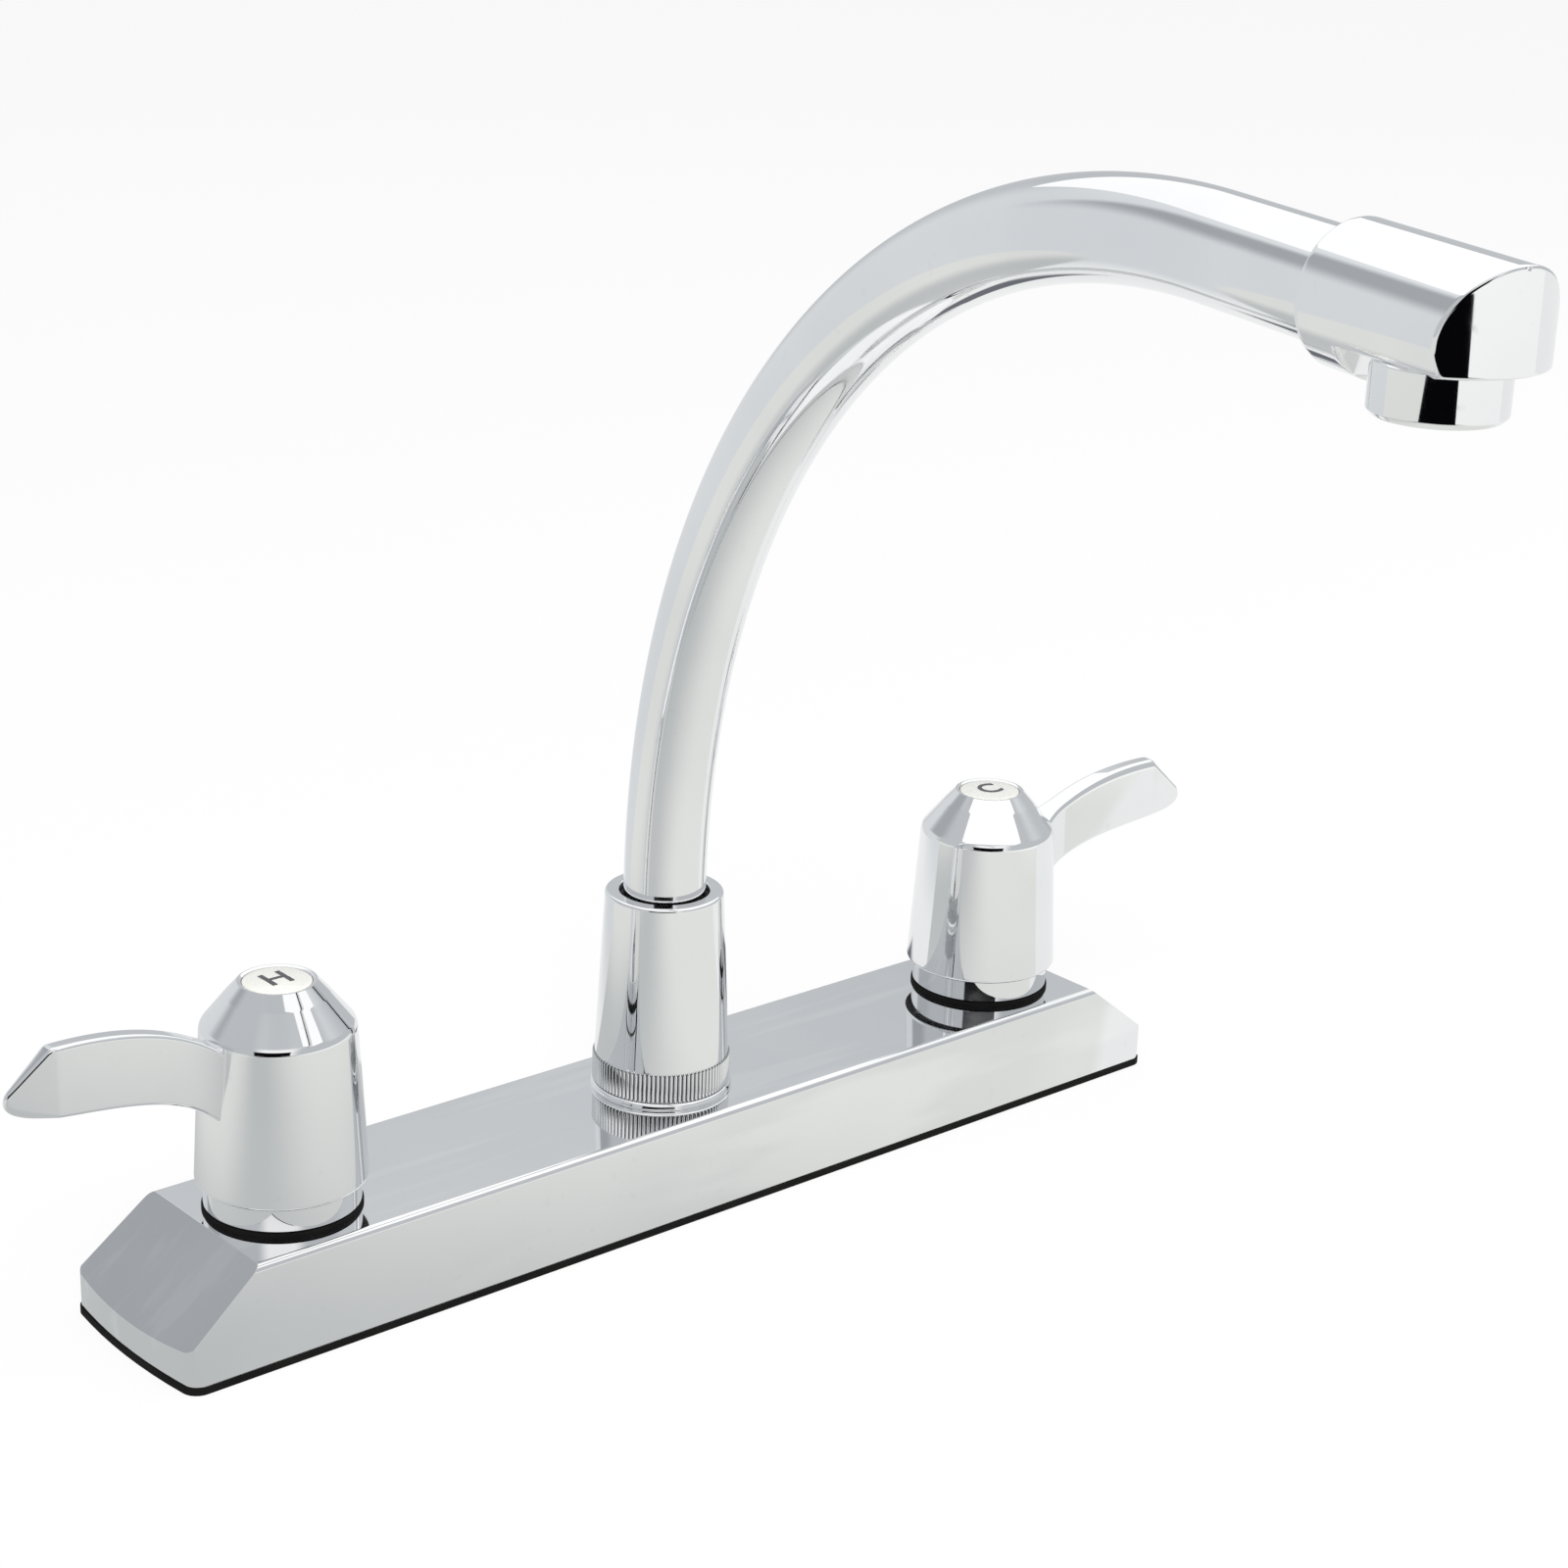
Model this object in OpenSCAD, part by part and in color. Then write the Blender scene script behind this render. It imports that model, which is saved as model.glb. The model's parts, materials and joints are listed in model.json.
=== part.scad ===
// Two-handle kitchen faucet with a high-arc swivel spout on a long deck plate.
// Origin: the spout's axis at the underside of the deck gasket. +Z is up and -Y is towards the sink.
// The handles are one casting, turned half round on the hot side.

/* [Layout] */
// Distance between the two handle axes
handle_centres = 203.2; // [190:0.1:220]
// Thickness of the sink deck that the shanks pass through
deck_t = 18; // [6:1:26]
// How far the spout stands swung towards the hot side at rest, in degrees
spout_swing = 10.4; // [-60:0.1:60]
// How far the cold lever stands open at rest, in degrees
cold_open = 5; // [0:1:60]

/* [Deck plate] */
// Length of the plate past each handle axis
plate_overhang = 38.2; // [32:0.1:45]
// Width of the plate at its base
plate_w = 47.2; // [44:0.1:60]
// Width of the plate at its top
plate_top_w = 43; // [38:0.1:44]
// Height of the plate above the gasket
plate_h = 21.9; // [20:0.1:28]
// Wall of the plate
plate_wall = 2; // [1.5:0.1:2.5]
// Slope of the end facets, in degrees
end_slope = 38.4; // [36:0.1:60]
// Height of the upright edge below each end facet
end_edge_h = 6.5; // [3:0.1:10]
// How far the ends bow outwards
end_bow = 1.9; // [0.5:0.1:4]
// Corner radius of the plate seen from above
plate_corner_r = 3.5; // [2:0.1:8]
// Rounding of the two long top edges
plate_edge_r = 0.8; // [0.3:0.1:2]
// Thickness of the deck gasket
gasket_t = 1.6; // [1:0.1:3]
// How far the gasket stands out past the plate's edge
gasket_lip = 0.3; // [-1:0.1:1]

/* [Fits] */
// Radial running clearance of the swivel and the valve stems
run_gap = 0.06; // [0.02:0.01:0.1]
// Radial clearance between pieces that are screwed or pushed together
fit_gap = 0.05; // [0.02:0.01:0.1]
// Radial clearance of the holes that bodies drop through
hole_gap = 0.4; // [0.3:0.1:0.8]
// Gap between a fixed face and a turning one
face_gap = 0.1; // [0.05:0.01:0.3]

/* [Valves] */
// Radius of the threaded inlet shanks
shank_r = 10.475; // [9:0.005:12]
// Length of the shanks below the deck's upper face
shank_l = 50; // [48:1:80]
// Radius of the inlet bore
inlet_r = 6.5; // [4:0.1:7.5]
// Radius of the ceramic discs
disc_r = 7.1; // [6.5:0.1:8]
// Thickness of each ceramic disc
disc_t = 3; // [2:0.1:4]
// Radius of the two ports in each disc
disc_port_r = 1.9; // [1:0.1:2.2]
// Thickness of the rubber seat seal
seal_t = 2; // [1:0.1:3]
// Wall of the cartridge housing
cartridge_wall = 1.35; // [1:0.05:2]
// Wall of the valve body around the cartridge
body_wall = 2.4; // [2:0.1:3]
// Thickness of the valve body's foot flange
foot_t = 3.4; // [2:0.1:4]
// Height of the foot flange's top above which the seat floor stands
seat_rise = 3; // [2:0.1:4]
// Depth of the water gallery cut around the cartridge
gallery_depth = 1.4; // [0.5:0.1:1.6]
// Radius of the valve stem
stem_r = 4.6; // [4:0.1:5]
// Height of the stem's driver flange
driver_t = 1.6; // [1:0.1:3]
// Height of the thrust collar above the driver
collar_h = 2.9; // [2:0.1:4]
// Height of the plate nuts
plate_nut_h = 4; // [3:0.1:6]
// Height of the thread above the plate nuts for the bonnet nuts
bonnet_thread_h = 5.5; // [4:0.1:8]
// Height of the bonnet nut's lip over the cartridge flange
bonnet_lip = 2; // [1:0.1:3]
// Height of the cartridge's nose above the bonnet nut
nose_h = 3.6; // [2:0.1:6]
// Number of spline teeth on the stem
spline_teeth = 16; // [8:1:20]
// Length of the spline
spline_l = 18.6; // [12:0.1:24]

/* [Mounting hardware] */
// Radius of the mounting nuts' flange
mount_flange_r = 17; // [15:0.1:20]
// Thickness of the mounting washers
mount_washer_t = 1.6; // [1:0.1:3]
// Height of the mounting nuts
mount_nut_h = 10; // [7:0.1:14]
// Number of wings on each mounting nut
mount_wings = 4; // [2:1:6]

/* [Handles] */
// Wall of the skirt's lower band
band_wall = 1.75; // [1.2:0.05:2.5]
// Height of the lower band
band_h = 6.1; // [3:0.1:8]
// Running height of the handle above the plate
handle_lift = 0.5; // [0.4:0.1:3]
// How far the skirt stands out past the band
skirt_step = 1.65; // [0.5:0.05:3]
// How much narrower the skirt is at its shoulder
skirt_taper = 2; // [0:0.1:3]
// Rounding of the skirt's lower edge
skirt_edge_r = 0.9; // [0.3:0.1:1.4]
// Height of the crown above the shoulder
crown_h = 9.8; // [6:0.1:14]
// Thickness of metal between the spline and the screw head
socket_roof = 6; // [4:0.1:9]
// Depth of the pocket for the screw head
pocket_h = 6.2; // [4.5:0.1:8]
// Radius of the index button
button_r = 7.3; // [6.5:0.1:9]
// Thickness of the index button
button_t = 2.2; // [1.5:0.1:3]
// Width of the rim around the button
button_rim = 0.95; // [0.6:0.05:2]
// Radius of the handle screw
screw_r = 2; // [1.5:0.1:2.5]

/* [Levers] */
// Reach of the lever's tip from the handle axis
lever_reach = 62.3; // [50:0.1:75]
// Length of the slanted tip past the knee
lever_tip_l = 9.8; // [6:0.1:14]
// Height of the knee below the handle's rim
knee_drop = 1; // [-4:0.1:6]
// How far the blade's top edge rises from the skirt to the knee
lever_rise = 9.2; // [4:0.1:14]
// Depth of the blade where it leaves the skirt
root_depth = 16.5; // [12:0.1:20]
// Depth of the blade at the knee
blade_depth = 15.3; // [10:0.1:18]
// Thickness of the blade at its root
blade_root_t = 5; // [4:0.1:7]
// Thickness of the blade at the knee
blade_tip_t = 3.8; // [3:0.1:5]
// Half width of the flare where the blade leaves the skirt
flare_w = 5.6; // [4:0.1:7]
// Reach at which the flare has died out
flare_end = 25; // [21:0.1:32]

/* [Hub] */
// Height of the hub above its base ring
hub_h = 46.1; // [42:0.1:60]
// Thickness of the bright base ring
ring_t = 1.6; // [1:0.1:3]
// Wall of the hub at its foot
hub_foot_wall = 2.8; // [2:0.1:4]
// Wall of the hub at its mouth
hub_mouth_wall = 2.65; // [2:0.05:3.2]
// Height of the knurled band
knurl_h = 7; // [4:0.1:10]
// How far the knurl stands proud
knurl_depth = 0.45; // [0.2:0.05:0.8]
// Number of knurl ridges
knurl_count = 96; // [48:1:120]
// Rounding of the hub's rim
hub_rim_r = 0.8; // [0.3:0.1:1.2]
// Radial room between the spout tube and the hub's mouth
hub_room = 1.45; // [1:0.05:2]
// Length of the hub's thread on the post
hub_thread_l = 15.9; // [10:0.1:18]
// Height of the bushing in the hub's mouth
bushing_h = 6; // [3:0.1:10]

/* [Spout swivel] */
// Radius of the swivel spigot
swivel_r = 8.42; // [7.6:0.01:8.6]
// Wall of the post around the swivel
post_wall = 4; // [3:0.1:5]
// Depth of the swivel socket below the plate's ceiling
socket_depth = 3.5; // [2:0.1:5]
// Thickness of the glide ring
glide_t = 0.8; // [0.5:0.1:2]
// Thickness of the spout's flange
spout_flange_t = 2.5; // [2:0.1:4]
// How far the flange stands out past the tube
spout_flange_w = 2.3; // [1.8:0.1:2.6]
// Height of the retaining ring
retainer_h = 3.4; // [2:0.1:5]
// Thickness of the swivel's O-rings
o_ring_t = 1.9; // [1.4:0.1:2.2]
// Radius of the waterway through the swivel
waterway_r = 5.2; // [4:0.1:5.4]

/* [Spout tube] */
// Outside radius of the spout tube
tube_r = 9.3; // [8.8:0.05:10]
// Wall of the spout tube
tube_wall = 1.3; // [0.9:0.05:1.6]
// Radius of the spout's bend
bend_r = 174; // [120:1:200]
// Angle of the bend, in degrees
bend_angle = 92.2; // [80:0.1:100]
// How far below the hub's rim the bend begins
bend_inset = 1.1; // [0.5:0.1:4]
// Straight run from the end of the bend to the outlet's axis
outlet_run = 54.3; // [40:0.1:80]

/* [Spout head] */
// Radius of the head's barrel
head_r = 11.7; // [11.2:0.05:13]
// Length of the head behind the outlet's axis
head_tail = 21; // [19:0.1:30]
// Radius of the head's nose around the outlet's axis
nose_r = 15.8; // [13:0.1:18]
// Height of the head's flat underside below the outlet run's axis
flat_drop = 5.2; // [4:0.1:6.2]
// Length of the flat underside behind the outlet's axis
flat_tail = 13; // [11.5:0.1:14]
// How far the tube goes into the head
tube_insert = 6.4; // [4:0.1:8]
// Radius of the aerator's thread
aerator_thread_r = 9.2; // [8:0.1:9.6]
// Length of the aerator's thread
aerator_thread_l = 2.1; // [1.5:0.1:3]
// How far the aerator's collar stands out past its thread
aerator_collar = 1.5; // [0.8:0.1:2]
// Height of the aerator below the head
aerator_h = 8.6; // [6:0.1:14]
// Chamfer of the aerator's lower edge
aerator_chamfer = 0.9; // [0.3:0.1:2]
// Wall of the aerator
aerator_wall = 1; // [0.8:0.1:1.5]
// Thickness of the aerator's rubber washer
aerator_washer_t = 1; // [0.6:0.1:1.5]
// Number of water holes in the aerator's outer ring
aerator_holes = 18; // [8:1:20]

/* [Hidden] */
$fn = 96;

// How far a cutting shape runs past the face it cuts
cut = 1;

// Deck plate levels
plate_l = handle_centres + 2 * plate_overhang;
plate_top = gasket_t + plate_h;
ceiling_z = plate_top - plate_wall;

// Valve body
seat_z = gasket_t + foot_t + seat_rise;
foot_z = gasket_t + foot_t;
chamber_r = disc_r + face_gap;
cartridge_r = chamber_r + cartridge_wall;
body_bore_r = cartridge_r + fit_gap;
neck_r = body_bore_r + body_wall;
barrel_r = neck_r + 2.4;
flange_r = barrel_r + 2.6;
neck_top = plate_top + plate_nut_h + bonnet_thread_h;
seat_hole_r = inlet_r - 2.5;

// Copper transfer tubes, of half inch size
supply_r = 6.35;
supply_wall = 0.8;
supply_socket = 6;
boss_r = supply_r + 1.65;
boss_reach = barrel_r + 5.6;
port_z = (gasket_t + ceiling_z) / 2;

// Stack of pieces in the cartridge
disc_z = seat_z + seal_t;
turning_z = disc_z + disc_t;
driver_z = turning_z + disc_t;
collar_z = driver_z + driver_t;
chamber_top = collar_z + collar_h + face_gap;
collar_r = disc_r - 1.4;
disc_port_at = disc_r / 2;
tang_w = 3;
tang_l = disc_r + 0.9;
tang_h = 1.5;
cartridge_foot = seat_z + 0.4;
cartridge_flange_t = 1.4;
cartridge_flange_r = neck_r - 0.7;
nose_r_out = stem_r + 3.4;
bonnet_lip_z = neck_top + cartridge_flange_t;
bonnet_top = bonnet_lip_z + bonnet_lip;
nose_top = bonnet_top + nose_h;
stem_shoulder = nose_top + 1.4;
spline_top = stem_shoulder + spline_l;
spline_r = stem_r - 0.6;
stem_seal_t = 1.6;
stem_seal_z = nose_top - 5;

// Nuts on the valve neck
nut_flat = neck_r + 1;
nut_corner_r = nut_flat / cos(30);
plate_nut_r = neck_r + 2.9;

// Mounting hardware under the deck
washer_z = -deck_t - mount_washer_t;
nut_z = washer_z - mount_nut_h;
relief_w = 1;
relief_z = nut_z - 2 * relief_w;
relief_depth = 0.5;

// Handle casting
cavity_r = nut_corner_r + 1;
band_r = cavity_r + band_wall;
skirt_r = band_r + skirt_step;
shoulder_r = skirt_r - skirt_taper;
handle_z = plate_top + handle_lift;
skirt_z = handle_z + band_h;
screw_seat = spline_top + socket_roof;
button_z = screw_seat + pocket_h;
button_top = button_z + button_t;
rim_z = button_top - 0.2;
rim_r = button_r + fit_gap + button_rim;
shoulder_z = rim_z - crown_h;
boss_r_out = spline_r + 3;
boss_foot = stem_shoulder + 0.6;
cavity_top = spline_top;
cavity_knee = cavity_top - 4;
head_pocket_r = screw_r + 2.2;
screw_head_h = 2.8;
screw_l = 14;

// Lever
knee_z = rim_z - knee_drop;
lever_knee = lever_reach - lever_tip_l;
lever_root = cavity_r - 0.5;
tip_z = knee_z - lever_tip_l;
heel_z = knee_z - blade_depth;
top_root_z = knee_z - lever_rise;
top_mid_z = knee_z - 0.16 * lever_rise;
under_root_z = top_root_z - root_depth;
under_mid_z = heel_z - 0.6;
lever_mid = 0.68 * lever_knee;

// Hub and post
hub_z = plate_top + ring_t;
hub_top = hub_z + hub_h;
post_bore_r = swivel_r + run_gap;
post_r = post_bore_r + post_wall;
post_base_r = post_r + 2;
post_top = hub_z + hub_thread_l;
post_boss_reach = post_base_r + 4.5;
hub_bore_r = post_r + fit_gap;
hub_foot_r = hub_bore_r + hub_foot_wall;
knurl_r = hub_foot_r + knurl_depth;
hub_mouth_r = tube_r + hub_room;
hub_top_r = hub_mouth_r + hub_mouth_wall;
spout_flange_r = tube_r + spout_flange_w;
hub_cavity_r = spout_flange_r + 0.4;
glide_top = post_top + glide_t;
flange_top = glide_top + spout_flange_t;
retainer_z = flange_top + face_gap;
hub_shoulder_z = retainer_z + retainer_h;
socket_z = ceiling_z - socket_depth;
swivel_z = socket_z + 0.6;
bend_z = hub_top - bend_inset;
bushing_top = bend_z - 0.3;

// Swivel seals
o_ring_r = post_bore_r - o_ring_t / 2 - 0.02;
groove_r = o_ring_r - o_ring_t / 2 - 0.02;
groove_w = o_ring_t + 0.5;
swivel_l = glide_top - swivel_z;
o_ring_zs = [swivel_z + 0.25 * swivel_l, swivel_z + 0.6 * swivel_l];
tube_bore_r = tube_r - tube_wall;
spigot_h = 8;

// Spout path, drawn along -Y before it is swung
arch_end_y = -bend_r + bend_r * cos(bend_angle);
arch_end_z = bend_z + bend_r * sin(bend_angle);
dip = bend_angle - 90;
outlet_y = arch_end_y - outlet_run * cos(dip);
outlet_z = arch_end_z - outlet_run * sin(dip);
flat_z = outlet_z - flat_drop;
tube_end = outlet_run - head_tail + tube_insert;
// The outlet run laps the bend a little and is a hair thicker, so that the two join in one solid
lap = 0.4;
seam = 0.005;

// Outlet and aerator
thread_bore_r = aerator_thread_r + fit_gap;
thread_top = flat_z + aerator_thread_l;
washer_top = thread_top + aerator_washer_t;
aerator_z = flat_z - aerator_h;
aerator_r = aerator_thread_r + aerator_collar;
aerator_bore_r = aerator_thread_r - aerator_wall;
aerator_lip = 1.2;
insert_r = aerator_bore_r - fit_gap;
insert_h = 4;
head_passage_r = tube_bore_r - 3;
head_passage_rise = 3;

// Points on a cubic curve with four control points
function curve(a, b, c, d, steps = 12) = [for (i = [0 : steps]) let (t = i / steps, s = 1 - t)
    a * s * s * s + 3 * b * s * s * t + 3 * c * s * t * t + d * t * t * t];

// Points on a round corner with centre c and radius r, from angle a0 to a1
function corner(c, r, a0, a1, steps = 6) = [for (i = [0 : steps]) let (a = a0 + (a1 - a0) * i / steps)
    c + r * [cos(a), sin(a)]];

// Points on a toothed circle
function toothed(n, r_out, r_in) = [for (i = [0 : 2 * n - 1])
    (i % 2 == 0 ? r_out : r_in) * [cos(180 * i / n), sin(180 * i / n)]];

// Outline of the deck plate from above: straight sides, bowed ends and round corners
function plate_outline(inset) = let (
        l = plate_l / 2 - inset,
        w = plate_w / 2 - inset,
        r = max(plate_corner_r - inset, 0.5),
        bow_r = (w * w + end_bow * end_bow) / (2 * end_bow),
        bow_x = l - bow_r,
        cx = bow_x + sqrt(pow(bow_r - r, 2) - pow(w - r, 2)),
        a = atan2(w - r, cx - bow_x),
        right = concat(corner([bow_x, 0], bow_r, 0, a, 4), corner([cx, w - r], r, a + 2, 90)))
    concat(right, [for (i = [len(right) - 1 : -1 : 0]) [-right[i][0], right[i][1]]],
        [for (i = [1 : len(right) - 1]) [-right[i][0], -right[i][1]]],
        [for (i = [len(right) - 1 : -1 : 1]) [right[i][0], -right[i][1]]]);

// The fixed pieces of each valve, with their side port towards the middle
module at_hot() { translate([-handle_centres / 2, 0, 0]) rotate([0, 0, 180]) children(); }
module at_cold() { translate([handle_centres / 2, 0, 0]) children(); }

// The pieces that turn with each lever
module with_hot_lever() { at_hot() children(); }
module with_cold_lever() { at_cold() rotate([0, 0, -cold_open]) children(); }
module at_both() {
    at_hot() children();
    at_cold() children();
}

// The pieces that swing with the spout
module with_spout() { rotate([0, 0, -spout_swing]) children(); }

// Local -Y runs along the outlet end of the spout from the end of its bend
module at_outlet_run() {
    translate([0, arch_end_y, arch_end_z]) rotate([dip, 0, 0]) children();
}
module at_outlet() { translate([0, outlet_y, 0]) children(); }

// A tube or ring between two radii, from z0 to z1
module ring(r_out, r_in, z0, z1) {
    translate([0, 0, z0]) difference() {
        cylinder(r = r_out, h = z1 - z0);
        translate([0, 0, -cut]) cylinder(r = r_in, h = z1 - z0 + 2 * cut);
    }
}

// A disc from z0 to z1
module disc(r, z0, z1) { translate([0, 0, z0]) cylinder(r = r, h = z1 - z0); }

// A hexagon nut blank from z0 to z1
module hex(flat, z0, z1) {
    translate([0, 0, z0]) cylinder(r = flat / cos(30), h = z1 - z0, $fn = 6);
}

// Deck plate

// Side view, with the end facets
module plate_side_view(inset, z0) {
    slope_x = plate_l / 2 - inset / sin(end_slope);
    upright_x = plate_l / 2 - inset;
    facet_z = gasket_t + end_edge_h;
    top = plate_top - inset;
    turn_z = facet_z + (slope_x - upright_x) * tan(end_slope);
    top_x = slope_x - (top - facet_z) / tan(end_slope);
    polygon([[-upright_x, z0], [upright_x, z0], [upright_x, turn_z], [top_x, top], [-top_x, top],
        [-upright_x, turn_z]]);
}

// End view, with the sloping long sides
module plate_end_view(inset, z0, edge_r) {
    lean = atan2((plate_w - plate_top_w) / 2, plate_h);
    top = plate_top - inset;
    side = function(z) plate_w / 2 - inset / cos(lean) - (z - gasket_t) * tan(lean);
    edge_y = side(top) - edge_r * tan((90 - lean) / 2);
    right = concat([[side(z0), z0]], corner([edge_y, top - edge_r], edge_r, lean, 90));
    polygon(concat(right, [for (i = [len(right) - 1 : -1 : 0]) [-right[i][0], right[i][1]]]));
}

module plate_form(inset, z0, edge_r) {
    intersection() {
        translate([0, plate_w, 0]) rotate([90, 0, 0]) linear_extrude(height = 2 * plate_w)
            plate_side_view(inset, z0);
        translate([-plate_l, 0, 0]) rotate([90, 0, 90]) linear_extrude(height = 2 * plate_l)
            plate_end_view(inset, z0, edge_r);
        translate([0, 0, z0 - cut]) linear_extrude(height = plate_h + 3 * cut)
            polygon(plate_outline(inset));
    }
}

module deck_plate() {
    color("gainsboro") difference() {
        plate_form(0, gasket_t, plate_edge_r);
        plate_form(plate_wall, gasket_t - cut, 0.1);
        disc(post_r + hole_gap, ceiling_z - cut, plate_top + cut);
        at_both() disc(neck_r + hole_gap, ceiling_z - cut, plate_top + cut);
    }
}

module deck_gasket() {
    color("black") difference() {
        linear_extrude(height = gasket_t) polygon(plate_outline(-gasket_lip));
        at_both() disc(shank_r + hole_gap, -cut, gasket_t + cut);
    }
}

// Valves

module valve_body() {
    side_socket_x = boss_reach - supply_socket;
    color("goldenrod") difference() {
        union() {
            disc(shank_r, -shank_l, foot_z);
            disc(flange_r, gasket_t, foot_z);
            disc(barrel_r, foot_z, ceiling_z);
            disc(neck_r, ceiling_z, neck_top);
            translate([0, 0, port_z]) rotate([0, -90, 0]) cylinder(r = boss_r, h = boss_reach);
        }
        disc(inlet_r, -shank_l - cut, seat_z - seat_rise);
        disc(seat_hole_r, foot_z - cut, seat_z + cut);
        disc(body_bore_r, seat_z, neck_top + cut);
        disc(body_bore_r + gallery_depth, disc_z, chamber_top);
        translate([-side_socket_x, 0, port_z]) rotate([0, -90, 0])
            cylinder(r = supply_r + fit_gap, h = supply_socket + cut);
        translate([-body_bore_r + cut, 0, port_z]) rotate([0, -90, 0])
            cylinder(r = supply_r - supply_wall, h = side_socket_x - body_bore_r + 2 * cut);
        ring(shank_r + cut, shank_r - relief_depth, relief_z, relief_z + relief_w);
    }
}

module seat_seal() {
    color("dimgray") ring(disc_r - 0.2, seat_hole_r + 0.2, seat_z, disc_z);
}

module cartridge() {
    window_w = cartridge_r;
    color("khaki") difference() {
        union() {
            disc(cartridge_r, cartridge_foot, neck_top);
            disc(cartridge_flange_r, neck_top, bonnet_lip_z);
            disc(nose_r_out, bonnet_lip_z, nose_top);
        }
        disc(chamber_r, cartridge_foot - cut, chamber_top);
        disc(stem_r + run_gap, chamber_top - cut, nose_top + cut);
        translate([-cartridge_r - cut, -window_w / 2, collar_z])
            cube([2 * (cartridge_r + cut), window_w, chamber_top - collar_z - 0.2]);
    }
}

// Two opposite ports, turned to the given angle
module disc_ports(angle, z0, z1) {
    for (side = [0, 180]) {
        rotate([0, 0, angle + side]) translate([disc_port_at, 0, 0]) disc(disc_port_r, z0, z1);
    }
}

module fixed_disc() {
    color("white") difference() {
        disc(disc_r, disc_z, turning_z);
        disc_ports(0, disc_z - cut, turning_z + cut);
    }
}

module turning_disc() {
    color("whitesmoke") difference() {
        disc(disc_r, turning_z, driver_z);
        disc_ports(90, turning_z - cut, driver_z + cut);
        translate([-tang_l / 2 - fit_gap, -tang_w / 2 - fit_gap, driver_z - tang_h])
            cube([tang_l + 2 * fit_gap, tang_w + 2 * fit_gap, tang_h + cut]);
    }
}

module stem() {
    color("peru") difference() {
        union() {
            translate([-tang_l / 2, -tang_w / 2, driver_z - tang_h]) cube([tang_l, tang_w, tang_h]);
            disc(disc_r - 0.1, driver_z, collar_z);
            disc(collar_r, collar_z, collar_z + collar_h);
            disc(stem_r, collar_z + collar_h, stem_shoulder);
            translate([0, 0, stem_shoulder]) linear_extrude(height = spline_l)
                polygon(toothed(spline_teeth, spline_r, spline_r - 0.4));
        }
        disc(screw_r + fit_gap, screw_seat - screw_l - cut, spline_top + cut);
        ring(stem_r + cut, stem_r - stem_seal_t / 2, stem_seal_z - stem_seal_t / 2 - 0.1,
            stem_seal_z + stem_seal_t / 2 + 0.1);
    }
}

module stem_seal() {
    half_t = stem_seal_t / 2;
    color("black") translate([0, 0, stem_seal_z])
        ring(stem_r + run_gap - 0.02, stem_r - half_t + 0.02, -half_t, half_t);
}

module plate_nut() {
    slot_w = 4;
    difference() {
        ring(plate_nut_r, neck_r + fit_gap, plate_top, plate_top + plate_nut_h);
        for (a = [0 : 90 : 270]) {
            rotate([0, 0, a + 45]) translate([neck_r + 1.6, -slot_w / 2, plate_top + plate_nut_h / 2])
                cube([plate_nut_r, slot_w, plate_nut_h]);
        }
    }
}

module plate_nuts() {
    color("goldenrod") at_both() plate_nut();
}

module bonnet_nut() {
    difference() {
        hex(nut_flat, plate_top + plate_nut_h, bonnet_top);
        disc(neck_r + fit_gap, plate_top + plate_nut_h - cut, bonnet_lip_z);
        disc(nose_r_out + fit_gap, bonnet_lip_z - cut, bonnet_top + cut);
    }
}

module bonnet_nuts() {
    color("gold") at_both() bonnet_nut();
}

module mounting_washers() {
    color("silver") at_both() ring(mount_flange_r, shank_r + hole_gap, washer_z, -deck_t);
}

module mounting_nut() {
    collar_w = 3.6;
    wing_t = 3.2;
    flange_h = 2.4;
    difference() {
        union() {
            disc(shank_r + collar_w, nut_z, washer_z);
            disc(mount_flange_r, washer_z - flange_h, washer_z);
            for (i = [1 : mount_wings]) {
                rotate([0, 0, 360 * i / mount_wings]) translate([shank_r + 1, -wing_t / 2, nut_z])
                    cube([mount_flange_r - shank_r + 2, wing_t, mount_nut_h]);
            }
        }
        disc(shank_r + fit_gap, nut_z - cut, washer_z + cut);
    }
}

module mounting_nuts() {
    color("wheat") at_both() mounting_nut();
}

// Waterway from each valve to the spout

module transfer_tube() {
    outer_x = handle_centres / 2 - boss_reach + supply_socket;
    inner_x = post_boss_reach - supply_socket;
    color("darkorange") translate([inner_x, 0, port_z]) rotate([0, 90, 0])
        ring(supply_r, supply_r - supply_wall, 0, outer_x - inner_x);
}

module spout_post() {
    color("goldenrod") difference() {
        union() {
            disc(post_base_r, gasket_t, ceiling_z);
            disc(post_r, ceiling_z, post_top);
            translate([-post_boss_reach, 0, port_z]) rotate([0, 90, 0])
                cylinder(r = boss_r, h = 2 * post_boss_reach);
        }
        disc(waterway_r, port_z - waterway_r, socket_z + cut);
        disc(post_bore_r, socket_z, post_top + cut);
        translate([-post_boss_reach, 0, port_z]) rotate([0, 90, 0])
            cylinder(r = waterway_r, h = 2 * post_boss_reach);
        for (side = [-1, 1]) {
            translate([side * (post_boss_reach - supply_socket), 0, port_z]) rotate([0, side * 90, 0])
                cylinder(r = supply_r + fit_gap, h = supply_socket + cut);
        }
    }
}

// Hub

module spout_base_ring() {
    color("gainsboro") ring(knurl_r + 0.5, post_r + hole_gap, plate_top, hub_z);
}

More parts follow.
